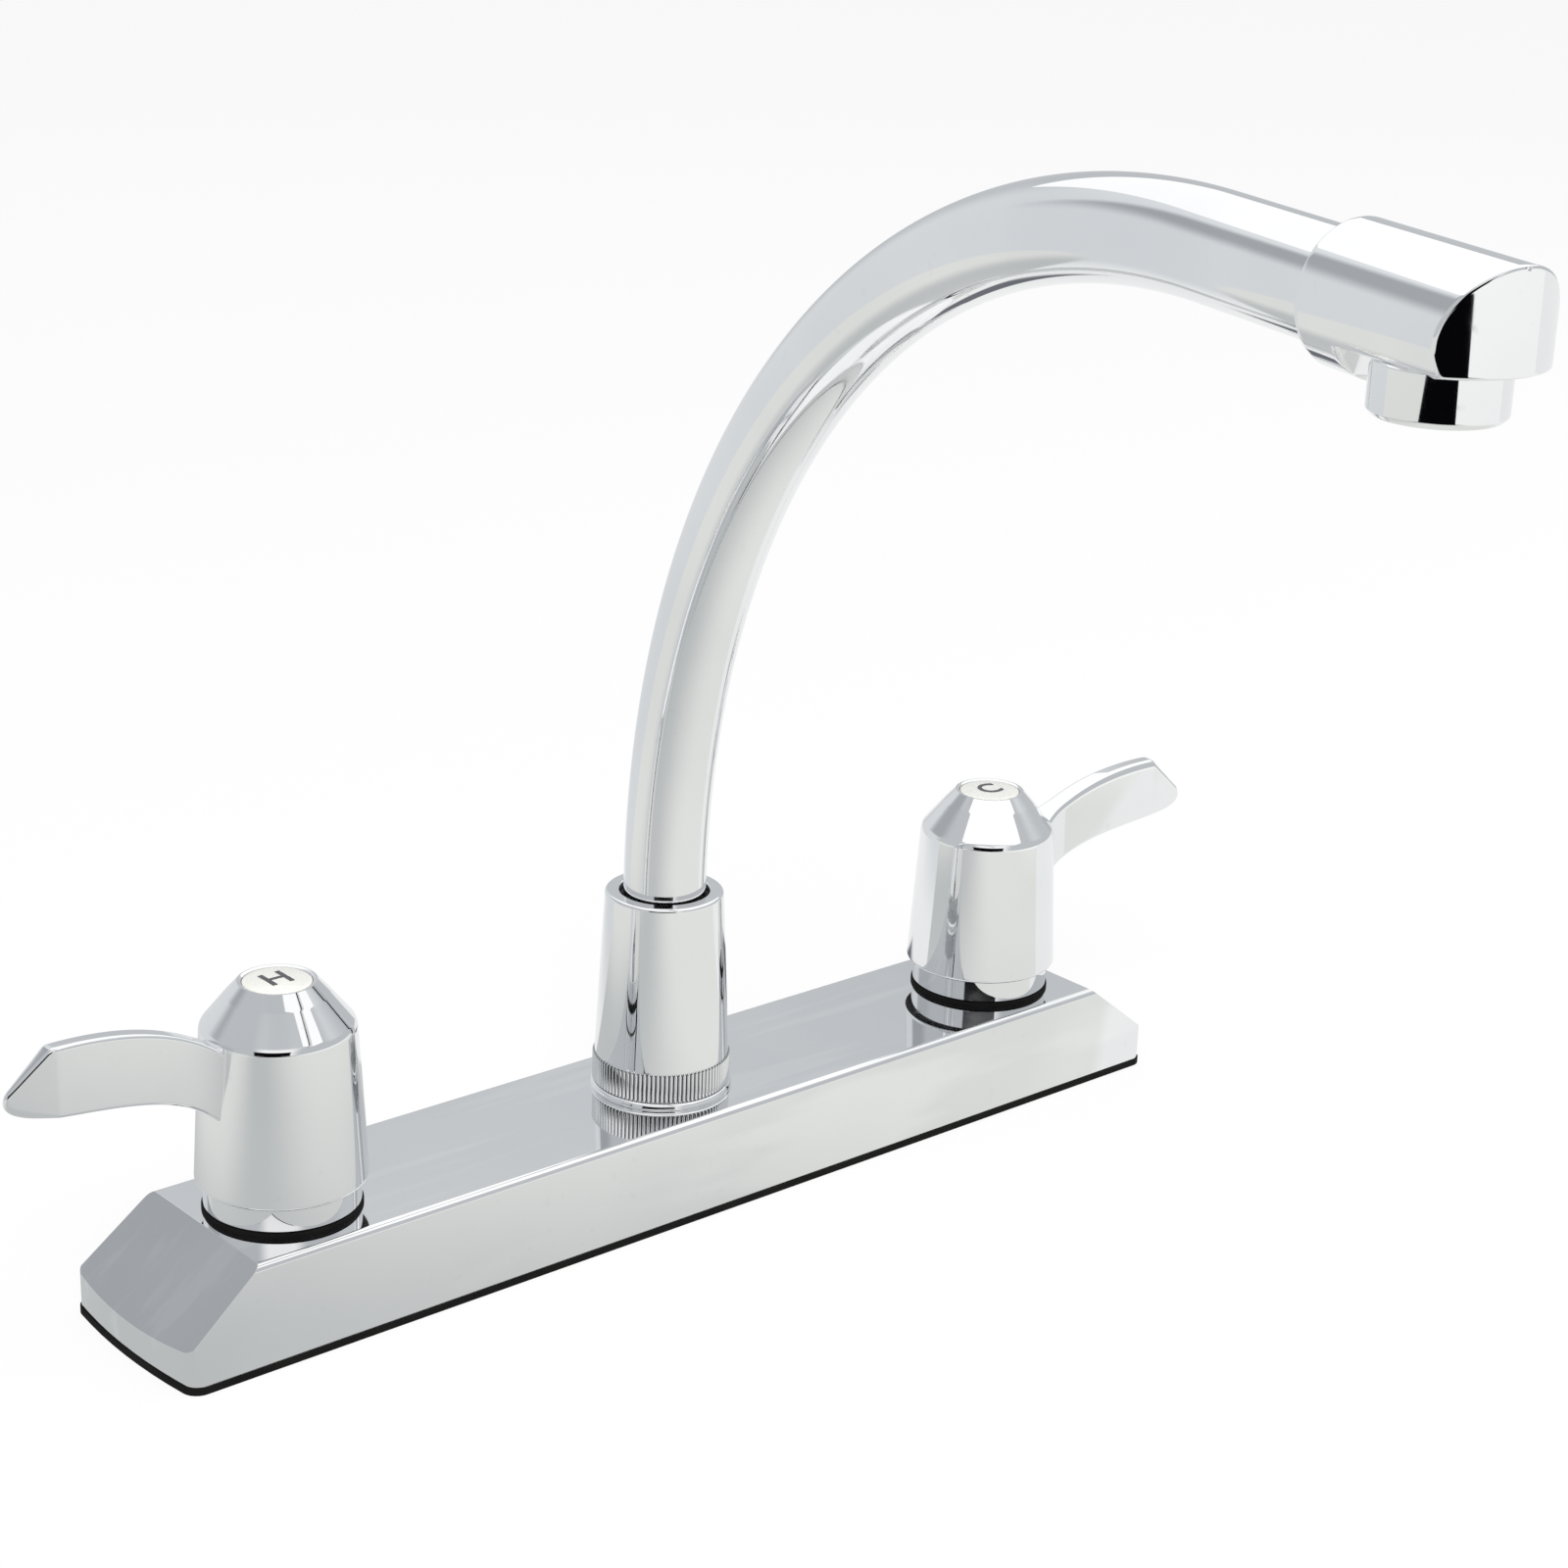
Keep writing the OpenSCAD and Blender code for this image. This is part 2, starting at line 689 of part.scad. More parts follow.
module spout_nut() {
    rim = hub_rim_r;
    color("silver") difference() {
        union() {
            translate([0, 0, hub_z]) linear_extrude(height = knurl_h)
                polygon(toothed(knurl_count, knurl_r, hub_foot_r));
            rotate_extrude() polygon(concat([[0, hub_z], [hub_foot_r, hub_z], [hub_foot_r, hub_z + knurl_h]],
                corner([hub_top_r - rim, hub_top - rim], rim, 0, 90), [[0, hub_top]]));
        }
        disc(hub_bore_r, hub_z - cut, post_top);
        disc(hub_cavity_r, post_top - cut, hub_shoulder_z);
        disc(hub_mouth_r, hub_shoulder_z - cut, hub_top + cut);
    }
}

module glide_ring() {
    color("ivory") ring(spout_flange_r, swivel_r + 0.5, post_top, glide_top);
}

module retaining_ring() {
    color("ivory") ring(hub_cavity_r - 0.3, tube_r + 0.5, retainer_z, hub_shoulder_z);
}

module hub_bushing() {
    color("gainsboro") ring(hub_mouth_r - fit_gap, tube_r + run_gap, bushing_top - bushing_h, bushing_top);
}

// Spout

module spout_stem() {
    color("goldenrod") with_spout() difference() {
        union() {
            disc(swivel_r, swivel_z, glide_top);
            disc(spout_flange_r, glide_top, flange_top);
            disc(tube_bore_r - fit_gap, flange_top, flange_top + spigot_h);
        }
        disc(waterway_r, swivel_z - cut, flange_top + spigot_h + cut);
        for (z = o_ring_zs) {
            ring(swivel_r + cut, groove_r, z - groove_w / 2, z + groove_w / 2);
        }
    }
}

module spout_o_rings() {
    color("black") with_spout() for (z = o_ring_zs) {
        translate([0, 0, z]) rotate_extrude() translate([o_ring_r, 0]) circle(d = o_ring_t, $fn = 48);
    }
}

module spout_tube() {
    color("gainsboro") with_spout() union() {
        ring(tube_r, tube_bore_r, flange_top, bend_z);
        translate([0, -bend_r, bend_z]) rotate([90, 0, 90]) rotate_extrude(angle = bend_angle)
            translate([bend_r, 0]) difference() {
                circle(r = tube_r);
                circle(r = tube_bore_r);
            }
        at_outlet_run() rotate([90, 0, 0]) ring(tube_r + seam, tube_bore_r - seam, -lap, tube_end);
    }
}

module spout_head() {
    head_l = outlet_run + nose_r;
    rear = outlet_run - head_tail;
    color("gainsboro") with_spout() difference() {
        intersection() {
            at_outlet_run() translate([0, -rear, 0]) rotate([90, 0, 0]) cylinder(r = head_r, h = head_l);
            union() {
                at_outlet() disc(nose_r, outlet_z - 2 * head_r, outlet_z + 2 * head_r);
                translate([-2 * head_r, outlet_y, outlet_z - 2 * head_r])
                    cube([4 * head_r, head_tail + head_r, 4 * head_r]);
            }
        }
        translate([-2 * head_r, outlet_y + flat_tail - 3 * nose_r, flat_z - 2 * head_r])
            cube([4 * head_r, 3 * nose_r, 2 * head_r]);
        at_outlet_run() translate([0, cut - rear, 0]) rotate([90, 0, 0])
            cylinder(r = tube_r + fit_gap, h = tube_insert + cut);
        at_outlet_run() translate([0, -rear, head_passage_rise]) rotate([90, 0, 0])
            cylinder(r = head_passage_r, h = head_tail);
        at_outlet() disc(thread_bore_r, flat_z - cut, washer_top);
        at_outlet() disc(thread_bore_r - 2, flat_z, outlet_z + head_r - 4);
    }
}

module aerator_housing() {
    c = aerator_chamfer;
    color("gainsboro") with_spout() at_outlet() difference() {
        union() {
            rotate_extrude() polygon([[0, aerator_z], [aerator_r - c, aerator_z], [aerator_r, aerator_z + c],
                [aerator_r, flat_z - 0.6], [aerator_r - 0.3, flat_z], [0, flat_z]]);
            disc(aerator_thread_r, flat_z, thread_top);
        }
        disc(aerator_bore_r - 0.9, aerator_z - cut, aerator_z + aerator_lip + cut);
        disc(aerator_bore_r, aerator_z + aerator_lip, thread_top + cut);
    }
}

module aerator_insert() {
    z0 = aerator_z + aerator_lip;
    hole_r = 0.8;
    color("dimgray") with_spout() at_outlet() difference() {
        disc(insert_r, z0, z0 + insert_h);
        for (k = [1, 2]) {
            count = k == 1 ? aerator_holes : floor(aerator_holes / 2);
            at_r = (insert_r - 1.7) / k;
            for (i = [1 : count]) {
                rotate([0, 0, 360 * i / count]) translate([at_r, 0, 0])
                    disc(hole_r, z0 - cut, z0 + insert_h + cut);
            }
        }
    }
}

module aerator_washer() {
    color("black") with_spout() at_outlet()
        ring(aerator_thread_r - 0.1, aerator_bore_r - 0.4, thread_top, washer_top);
}

// Handles

// Revolved outline of the skirt and crown
module skirt_solid() {
    e = skirt_edge_r;
    crown = curve([shoulder_r, shoulder_z], [shoulder_r - 0.4, shoulder_z + 0.53 * crown_h],
        [rim_r + 2.3, rim_z - 0.44 * crown_h], [rim_r, rim_z]);
    rotate_extrude() polygon(concat([[0, handle_z], [band_r, handle_z], [band_r, skirt_z]],
        corner([skirt_r - e, skirt_z + e], e, -90, 0), crown, [[0, rim_z]]));
}

// Side view of the lever blade, from the root to the slanted tip
module lever_side_view() {
    tip_r = 2.6;
    top = curve([lever_root, top_root_z - 1.5], [lever_mid - 10, top_mid_z - 0.4],
        [lever_mid + 4, top_mid_z + 1.6], [lever_knee, knee_z]);
    under = curve([lever_knee + 4, heel_z + 0.9], [lever_knee - 9, heel_z - 1.4],
        [lever_mid - 12, under_mid_z + 0.4], [lever_root, under_root_z - 2]);
    tip = curve([lever_reach - tip_r / 2, tip_z + tip_r / 2], [lever_reach + 0.4, tip_z - tip_r / 2],
        [lever_reach - 1, tip_z - 1.4 * tip_r], [lever_knee + 4, heel_z + 0.9], 6);
    polygon(concat(top, tip, [for (i = [1 : len(under) - 1]) under[i]]));
}

// Top view of the blade: its front is flat up to the end facet, and both sides flare at the root
module lever_top_view() {
    root = blade_root_t / 2;
    tip = blade_tip_t / 2;
    front = curve([lever_root, flare_w], [lever_root + 4, flare_w - 0.6],
        [flare_end - 5, root], [flare_end, root]);
    back = [for (i = [len(front) - 1 : -1 : 0]) [front[i][0], -front[i][1]]];
    polygon(concat(front, [[lever_knee - 1, root], [lever_reach + 1, -tip / 2],
        [lever_reach + 1, -tip], [lever_knee, -tip]], back));
}

module lever() {
    intersection() {
        translate([0, 2 * flare_w, 0]) rotate([90, 0, 0]) linear_extrude(height = 4 * flare_w)
            lever_side_view();
        translate([0, 0, under_root_z - 4]) linear_extrude(height = knee_z) lever_top_view();
    }
}

// Hollow under the skirt, around the central boss
module skirt_hollow() {
    rotate_extrude() polygon([[0, handle_z - cut], [cavity_r, handle_z - cut], [cavity_r, cavity_knee],
        [cavity_r - 3, cavity_top], [boss_r_out, cavity_top], [boss_r_out, boss_foot], [0, boss_foot]]);
}

module handle_casting() {
    difference() {
        union() {
            skirt_solid();
            lever();
        }
        skirt_hollow();
        translate([0, 0, boss_foot - cut]) linear_extrude(height = spline_top - boss_foot + cut)
            polygon(toothed(spline_teeth, spline_r + fit_gap, spline_r - 0.4 + fit_gap));
        disc(screw_r + 0.1, spline_top - cut, screw_seat + cut);
        disc(head_pocket_r, screw_seat, button_z + cut);
        disc(button_r + fit_gap, button_z, rim_z + cut);
    }
}

module handle_screw() {
    slot_w = 1;
    slot_d = 1.2;
    color("lightgray") difference() {
        union() {
            disc(screw_r, screw_seat - screw_l, screw_seat);
            disc(head_pocket_r - 0.3, screw_seat, screw_seat + screw_head_h);
        }
        for (a = [0, 90]) {
            rotate([0, 0, a]) translate([-1.2 * screw_r, -slot_w / 2, screw_seat + screw_head_h - slot_d])
                cube([2.4 * screw_r, slot_w, slot_d + cut]);
        }
    }
}

module index_button() {
    edge = 0.4;
    color("ivory") rotate_extrude() polygon([[0, button_z - 2.6], [head_pocket_r - 0.1, button_z - 2.6],
        [head_pocket_r - 0.1, button_z], [button_r, button_z], [button_r, button_top - edge],
        [button_r - edge, button_top], [0, button_top]]);
}

// The same pieces on the hot and the cold side

module hot_valve_body() { at_hot() valve_body(); }
module cold_valve_body() { at_cold() valve_body(); }
module hot_seat_seal() { at_hot() seat_seal(); }
module cold_seat_seal() { at_cold() seat_seal(); }
module hot_cartridge() { at_hot() cartridge(); }
module cold_cartridge() { at_cold() cartridge(); }
module hot_fixed_disc() { at_hot() fixed_disc(); }
module cold_fixed_disc() { at_cold() fixed_disc(); }
module hot_transfer_tube() { rotate([0, 0, 180]) transfer_tube(); }
module cold_transfer_tube() { transfer_tube(); }
module hot_turning_disc() { with_hot_lever() turning_disc(); }
module cold_turning_disc() { with_cold_lever() turning_disc(); }
module hot_stem() { with_hot_lever() stem(); }
module cold_stem() { with_cold_lever() stem(); }
module hot_stem_seal() { with_hot_lever() stem_seal(); }
module cold_stem_seal() { with_cold_lever() stem_seal(); }
module hot_handle() { color("silver") with_hot_lever() handle_casting(); }
module cold_handle() { color("silver") with_cold_lever() handle_casting(); }
module hot_handle_screw() { with_hot_lever() handle_screw(); }
module cold_handle_screw() { with_cold_lever() handle_screw(); }
module hot_index_button() { with_hot_lever() index_button(); }
module cold_index_button() { with_cold_lever() index_button(); }

deck_plate();
deck_gasket();
hot_valve_body();
cold_valve_body();
hot_seat_seal();
cold_seat_seal();
hot_cartridge();
cold_cartridge();
hot_fixed_disc();
cold_fixed_disc();
plate_nuts();
bonnet_nuts();
mounting_washers();
mounting_nuts();
hot_transfer_tube();
cold_transfer_tube();
spout_post();
spout_base_ring();
spout_nut();
glide_ring();
retaining_ring();
hub_bushing();
hot_turning_disc();
hot_stem();
hot_stem_seal();
hot_handle();
hot_handle_screw();
hot_index_button();
cold_turning_disc();
cold_stem();
cold_stem_seal();
cold_handle();
cold_handle_screw();
cold_index_button();
spout_stem();
spout_o_rings();
spout_tube();
spout_head();
aerator_housing();
aerator_insert();
aerator_washer();
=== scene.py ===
"""High-arc kitchen faucet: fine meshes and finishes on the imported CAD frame, in a white studio.

Sizes are in millimetres and match the CAD source. Blender's own units are metres.
"""

import json
import logging
from collections.abc import Callable, Sequence
from dataclasses import dataclass
from enum import Enum
from math import acos, atan, atan2, cos, pi, radians, sin, sqrt, tan

import bmesh
import bpy
from bpy.types import Material, Node, NodeSocket, NodeTree, Object
from mathutils import Matrix, Vector

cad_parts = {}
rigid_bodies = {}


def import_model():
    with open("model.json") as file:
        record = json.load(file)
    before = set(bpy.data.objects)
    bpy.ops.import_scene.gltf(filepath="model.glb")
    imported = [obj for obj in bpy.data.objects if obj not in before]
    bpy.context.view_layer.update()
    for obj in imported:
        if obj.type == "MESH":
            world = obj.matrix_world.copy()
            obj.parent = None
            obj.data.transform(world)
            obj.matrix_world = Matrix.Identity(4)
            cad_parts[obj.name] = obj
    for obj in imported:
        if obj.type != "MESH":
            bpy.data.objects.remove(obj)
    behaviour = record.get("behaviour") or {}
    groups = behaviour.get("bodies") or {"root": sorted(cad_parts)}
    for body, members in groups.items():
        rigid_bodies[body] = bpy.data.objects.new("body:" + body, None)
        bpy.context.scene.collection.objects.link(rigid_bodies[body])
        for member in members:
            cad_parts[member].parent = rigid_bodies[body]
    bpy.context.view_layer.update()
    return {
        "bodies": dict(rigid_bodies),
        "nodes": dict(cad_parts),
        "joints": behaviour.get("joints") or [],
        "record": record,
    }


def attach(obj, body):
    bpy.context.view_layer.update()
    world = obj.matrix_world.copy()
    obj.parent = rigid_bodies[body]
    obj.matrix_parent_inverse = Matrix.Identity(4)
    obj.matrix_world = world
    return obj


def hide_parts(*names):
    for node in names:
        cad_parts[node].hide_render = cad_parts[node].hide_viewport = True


MM = 0.001
TURN = 2 * pi
QUARTER = pi / 2
WHITE = (1.0, 1.0, 1.0)
HANDLE_X = 101.6
PLATE_TOP = 23.5

Pair = tuple[float, float]
Place = tuple[float, float, float]

log = logging.getLogger("faucet")


# Edit tools, each for one new object at a time, as by hand


def metres(point: Sequence[float]) -> Vector:
    """Return a point given in millimetres as a vector in metres."""
    return Vector(point) * MM


def take(*objects: Object) -> None:
    """Leave edit mode and select only these objects, the first of them active."""
    if bpy.context.mode != "OBJECT":
        bpy.ops.object.mode_set(mode="OBJECT")
    bpy.ops.object.select_all(action="DESELECT")
    for obj in objects:
        obj.select_set(True)
    if objects:
        bpy.context.view_layer.objects.active = objects[0]


def add(operator: Callable[..., object], **settings: object) -> Object:
    """Add an object with one of Blender's operators, by default at the origin."""
    take()
    operator(**{"location": (0, 0, 0), **settings})
    return bpy.context.active_object


def edit(obj: Object) -> None:
    """Open one object in edit mode with all of its mesh selected."""
    take(obj)
    bpy.ops.object.mode_set(mode="EDIT")
    bpy.ops.mesh.select_all(action="SELECT")


def push(step: Sequence[float]) -> None:
    """Extrude what is selected by a step in metres."""
    bpy.ops.mesh.extrude_region_move(TRANSFORM_OT_translate={"value": step})


def pick(obj: Object, kind: str, test: Callable[[object], bool]) -> None:
    """Select only those "verts", "edges" or "faces" of a mesh in edit mode that pass a test."""
    mesh = bmesh.from_edit_mesh(obj.data)
    for part in (*mesh.verts, *mesh.edges, *mesh.faces):
        part.select = False
    for part in getattr(mesh, kind):
        if test(part):
            part.select_set(True)
    bmesh.update_edit_mesh(obj.data)


def pick_rims() -> None:
    """Select only the open edges of a mesh in edit mode."""
    bpy.ops.mesh.select_all(action="DESELECT")
    bpy.ops.mesh.select_non_manifold()


def tidy(merge_mm: float = 0.001) -> None:
    """Merge doubled vertices and turn every face outwards."""
    bpy.ops.mesh.select_all(action="SELECT")
    bpy.ops.mesh.remove_doubles(threshold=merge_mm * MM)
    bpy.ops.mesh.select_all(action="SELECT")
    bpy.ops.mesh.normals_make_consistent(inside=False)


def done(merge_mm: float = 0.001) -> None:
    """Tidy the mesh and leave edit mode."""
    tidy(merge_mm)
    bpy.ops.object.mode_set(mode="OBJECT")


def chain(points: Sequence[Place]) -> Object:
    """Extrude a vertex from point to point, in millimetres, and stay in edit mode."""
    obj = add(bpy.ops.mesh.primitive_plane_add, size=MM)
    edit(obj)
    bpy.ops.mesh.merge(type="CENTER")
    bpy.ops.transform.translate(value=metres(points[0]))
    for start, stop in zip(points, points[1:]):
        push(metres(stop) - metres(start))
    return obj


def turned(profile: Sequence[Pair], steps: int) -> Object:
    """Spin (radius, height) pairs in millimetres round the Z axis, in so many facets."""
    obj = chain([(r, 0.0, z) for r, z in profile])
    bpy.ops.mesh.select_all(action="SELECT")
    bpy.ops.mesh.spin(steps=steps, angle=TURN, center=(0, 0, 0), axis=(0, 0, 1))
    done()
    return obj


def turned_ring(corners: Sequence[Place], steps: int, chords: int = 5) -> Object:
    """Turn a closed section of (radius, height, rounding) corners, in so many facets."""
    line = rounded(corners, closed=True, steps=chords)
    return turned([*line, line[0]], steps)


def skin(rows: Sequence[Sequence[Place]], close: bool = False) -> Object:
    """Lay a grid over rows of points, such as the cross-sections of a piece.

    Args:
        rows: Rows of places in millimetres, all with as many points.
        close: Whether each row is a closed section, so that seam and ends are closed.

    Returns:
        The object, in object mode.
    """
    lines = [[*row, row[0]] if close else list(row) for row in rows]
    wide, tall = len(lines[0]) - 1, len(lines) - 1
    grid = bpy.ops.mesh.primitive_grid_add
    obj = add(grid, x_subdivisions=wide, y_subdivisions=tall, size=1)
    for v in obj.data.vertices:
        column, row = round((v.co.x + 0.5) * wide), round((v.co.y + 0.5) * tall)
        v.co = metres(lines[row][column])
    if close:
        edit(obj)
        bpy.ops.mesh.remove_doubles(threshold=0.001 * MM)
        pick_rims()
        bpy.ops.mesh.edge_face_add()
        done()
    return obj


def modify(obj: Object, kind: str, **settings: object) -> None:
    """Add a modifier of Blender's kind with its settings, and apply it."""
    take(obj)
    made = obj.modifiers.new(kind.title(), kind)
    for key, value in settings.items():
        setattr(made, key, value)
    bpy.ops.object.modifier_apply(modifier=made.name)


def bevel(obj: Object, width: float, angle: float, **settings: object) -> None:
    """Round the edges past an angle in degrees, to a width in millimetres."""
    limit = {"limit_method": "ANGLE", "angle_limit": radians(angle), "segments": 3}
    modify(obj, "BEVEL", width=width * MM, **limit, **settings)


def smooth(obj: Object, angle: float) -> None:
    """Shade smooth but for edges past an angle in degrees, and favour large faces."""
    take(obj)
    bpy.ops.object.shade_smooth_by_angle(angle=radians(angle))
    modify(obj, "WEIGHTED_NORMAL", keep_sharp=True, weight=80)


def settle(obj: Object, turn: float = 0.0, at: Place = (0, 0, 0)) -> None:
    """Turn a piece about Z in degrees, move it, and put its place in its mesh."""
    take(obj)
    obj.rotation_euler = (0, 0, radians(turn))
    obj.location = metres(at)
    bpy.ops.object.transform_apply(location=True, rotation=True, scale=True)


def join(first: Object, *others: Object) -> Object:
    """Join objects into the first one and return it."""
    take(first, *others)
    bpy.ops.object.join()
    return first


def rounded(corners: Sequence[Place], closed: bool, steps: int) -> list[Pair]:
    """Round the corners of an outline.

    Args:
        corners: Each corner as (x, y, radius).
        closed: Whether the outline's last corner joins its first.
        steps: The number of chords in each round.

    Returns:
        The points of the rounded outline.
    """
    out: list[Pair] = []
    count = len(corners)
    for i, (x, y, radius) in enumerate(corners):
        here = Vector((x, y))
        ends = not closed and i in (0, count - 1)
        if ends or radius <= 0:
            out.append((x, y))
            continue
        before = (Vector(corners[i - 1][:2]) - here).normalized()
        after = (Vector(corners[(i + 1) % count][:2]) - here).normalized()
        half = before.angle(after) / 2
        reach = radius / tan(half)
        middle = here + (before + after).normalized() * (radius / sin(half))
        start = here + before * reach - middle
        stop = here + after * reach - middle
        sweep = atan2(start.x * stop.y - start.y * stop.x, start.dot(stop))
        for k in range(steps + 1):
            c, s = cos(sweep * k / steps), sin(sweep * k / steps)
            x, y = start.x * c - start.y * s, start.x * s + start.y * c
            out.append((middle.x + x, middle.y + y))
    return out


def arc(middle: Pair, radius: float, start: float, stop: float, steps: int) -> list[Pair]:
    """Return points on a circle from one angle to another, in radians."""
    angles = [start + (stop - start) * k / steps for k in range(steps + 1)]
    return [(middle[0] + radius * cos(a), middle[1] + radius * sin(a)) for a in angles]


def bezier(a: Pair, b: Pair, c: Pair, d: Pair, steps: int) -> list[Pair]:
    """Return points on a cubic curve with four control points."""
    out = []
    for i in range(steps + 1):
        t = i / steps
        s = 1 - t
        weights = (s**3, 3 * s * s * t, 3 * s * t * t, t**3)
        out.append(tuple(sum(w * p[k] for w, p in zip(weights, (a, b, c, d))) for k in (0, 1)))
    return out


def level(line: Sequence[Pair], x: float) -> float:
    """Return the height at x of a line of points whose x rises."""
    for (x0, z0), (x1, z1) in zip(line, line[1:]):
        if x0 <= x <= x1 and x1 > x0:
            return z0 + (z1 - z0) * (x - x0) / (x1 - x0)
    return line[-1][1]


def soft_ramp(x: float, soft: float) -> float:
    """Return 0 below zero and x above it, with a soft turn."""
    return (x + sqrt(x * x + soft * soft)) / 2


def share(value: float) -> float:
    """Return a number, kept between 0 and 1."""
    return min(max(value, 0), 1)


# Shader tools


class Signal:
    """A socket that carries a number, with Python's operators as Math nodes."""

    def __init__(self, shader: "Shader", socket: NodeSocket) -> None:
        """Wrap a socket of a shader's tree."""
        self.shader = shader
        self.socket = socket

    def maths(self, operation: str, *values: "Signal | float") -> "Signal":
        """Return the result of one Math node on the values in their order."""
        return self.shader.value("Math", dict(enumerate(values)), operation=operation)

    def __add__(self, other: "Signal | float") -> "Signal":
        """Return self + other."""
        return self.maths("ADD", self, other)

    __radd__ = __add__

    def __sub__(self, other: "Signal | float") -> "Signal":
        """Return self - other."""
        return self.maths("SUBTRACT", self, other)

    def __rsub__(self, other: "Signal | float") -> "Signal":
        """Return other - self."""
        return self.maths("SUBTRACT", other, self)

    def __mul__(self, other: "Signal | float") -> "Signal":
        """Return self * other."""
        return self.maths("MULTIPLY", self, other)

    __rmul__ = __mul__

    def above(self, low: float) -> "Signal":
        """Return the signal, or the number where that is larger."""
        return self.maths("MAXIMUM", self, low)

    def step(self, low: float, high: float) -> "Signal":
        """Return a smooth step from 0 at low to 1 at high."""
        ends = {"Value": self, "From Min": low, "From Max": high, "To Min": 0.0, "To Max": 1.0}
        return self.shader.value("MapRange", ends, interpolation_type="SMOOTHSTEP")

    def band(self, low: float, high: float, soft: float) -> "Signal":
        """Return 1 between low and high and 0 outside, with soft edges."""
        return self.step(low - soft, low + soft) * (1 - self.step(high - soft, high + soft))

    def fade(self, ends: Pair) -> "Signal":
        """Return a step between two places in millimetres."""
        return self.step(ends[0] * MM, ends[1] * MM)

    def strip(self, ends: Pair, soft: float) -> "Signal":
        """Return a band between two places in millimetres."""
        return self.band(ends[0] * MM, ends[1] * MM, soft * MM)


class Shader:
    """A node tree, with one way to add any node."""

    def __init__(self, tree: NodeTree) -> None:
        """Start on an empty tree."""
        self.tree = tree
        tree.nodes.clear()

    def node(self, kind: str, values: dict | None = None, **settings: object) -> Node:
        """Add a node.

        Args:
            kind: Blender's name for the type of node, without "ShaderNode".
            values: The value, signal or socket of each input, by name or number.
            settings: The node's own settings, which are set first.

        Returns:
            The new node.
        """
        made = self.tree.nodes.new(f"ShaderNode{kind}")
        for key, value in settings.items():
            setattr(made, key, value)
        for key, value in (values or {}).items():
            socket = value.socket if isinstance(value, Signal) else value
            if isinstance(socket, NodeSocket):
                self.tree.links.new(socket, made.inputs[key])
            elif made.inputs[key].type == "RGBA":
                made.inputs[key].default_value = (*value, 1.0)
            else:
                made.inputs[key].default_value = value
        return made

    def out(self, kind: str, values: dict | None = None, **settings: object) -> NodeSocket:
        """Add a node and return its first output."""
        return self.node(kind, values, **settings).outputs[0]

    def value(self, kind: str, values: dict | None = None, **settings: object) -> Signal:
        """Add a node and return its first output as a signal."""
        return Signal(self, self.out(kind, values, **settings))

    def mix(self, factor: Signal | float, first: object, second: object) -> NodeSocket:
        """Mix two colours by a factor and return the mixed colour's socket."""
        sides = {0: factor, 6: first, 7: second}
        return self.node("Mix", sides, data_type="RGBA").outputs[2]

    def blend(self, factor: Signal, first: NodeSocket, second: NodeSocket) -> NodeSocket:
        """Mix two shaders by a factor and return the mixed shader's socket."""
        return self.out("MixShader", {0: factor, 1: first, 2: second})

    def light(self, kind: str, colour: object, strength: float = 1.0) -> NodeSocket:
        """Return an "Emission" or "Background" of a colour."""
        return self.out(kind, {"Color": colour, "Strength": strength})

    def rays(self) -> tuple[Signal, Signal]:
        """Return whether a ray comes from the camera, and whether it comes from a mirror."""
        path = self.node("LightPath").outputs
        return Signal(self, path["Is Camera Ray"]), Signal(self, path["Is Glossy Ray"])

    def noise(self, size: float, detail: float, stretch: Place = (1, 1, 1)) -> Signal:
        """Return noise on the object's own coordinates, with blotches of so many millimetres."""
        place = self.node("TexCoord").outputs["Object"]
        mapped = self.out("Mapping", {"Vector": place, "Scale": stretch})
        scale = 1 / (size * MM)
        return self.value("TexNoise", {"Vector": mapped, "Scale": scale, "Detail": detail})

    def bump(self, strength: float, depth: float, height: Signal) -> NodeSocket:
        """Return normals that a height of so many millimetres bumps."""
        return self.out("Bump", {"Strength": strength, "Distance": depth * MM, "Height": height})

    def surface(self, values: dict) -> None:
        """Finish a material's tree with one Principled surface on the given values."""
        self.node("OutputMaterial", {"Surface": self.out("BsdfPrincipled", values)})


def new_material(name: str) -> tuple[Material, Shader]:
    """Return a new material, and the shader on its empty tree."""
    material = bpy.data.materials.new(name)
    material.use_nodes = True
    return material, Shader(material.node_tree)


# Finishes


@dataclass(frozen=True)
class Chrome:
    """Bright chrome plate with faint polishing waves, a thin haze and a few water marks."""

    tint: Place = (0.88, 0.885, 0.89)
    deep: Place = (0.80, 0.81, 0.82)
    pale: Place = (0.97, 0.97, 0.97)
    polish: float = 0.035
    haze: float = 0.05
    wave_mm: float = 22.0
    wave: float = 0.018
    streak: float = 0.0

    def paint(self, shader: Shader) -> None:
        """Build the plate's nodes."""
        cloud = shader.noise(60, 3.0)
        film = shader.noise(9, 4.0)
        marks = shader.noise(3.5, 1.0).step(0.70, 0.76)
        swell = shader.noise(self.wave_mm, 1.0)
        tone = shader.mix(cloud.step(0.35, 0.7) * 0.7 + marks * 0.2, self.tint, self.deep)
        streaked = shader.noise(6, 2.5, (0.07, 1.0, 0.4)).step(0.52, 0.66) * self.streak
        shader.surface(
            {
                "Base Color": shader.mix(streaked, tone, self.pale),
                "Metallic": 1.0,
                "Roughness": self.polish + film.step(0.45, 0.8) * self.haze + marks * 0.06,
                "Normal": shader.bump(self.wave, 1, swell),
            }
        )


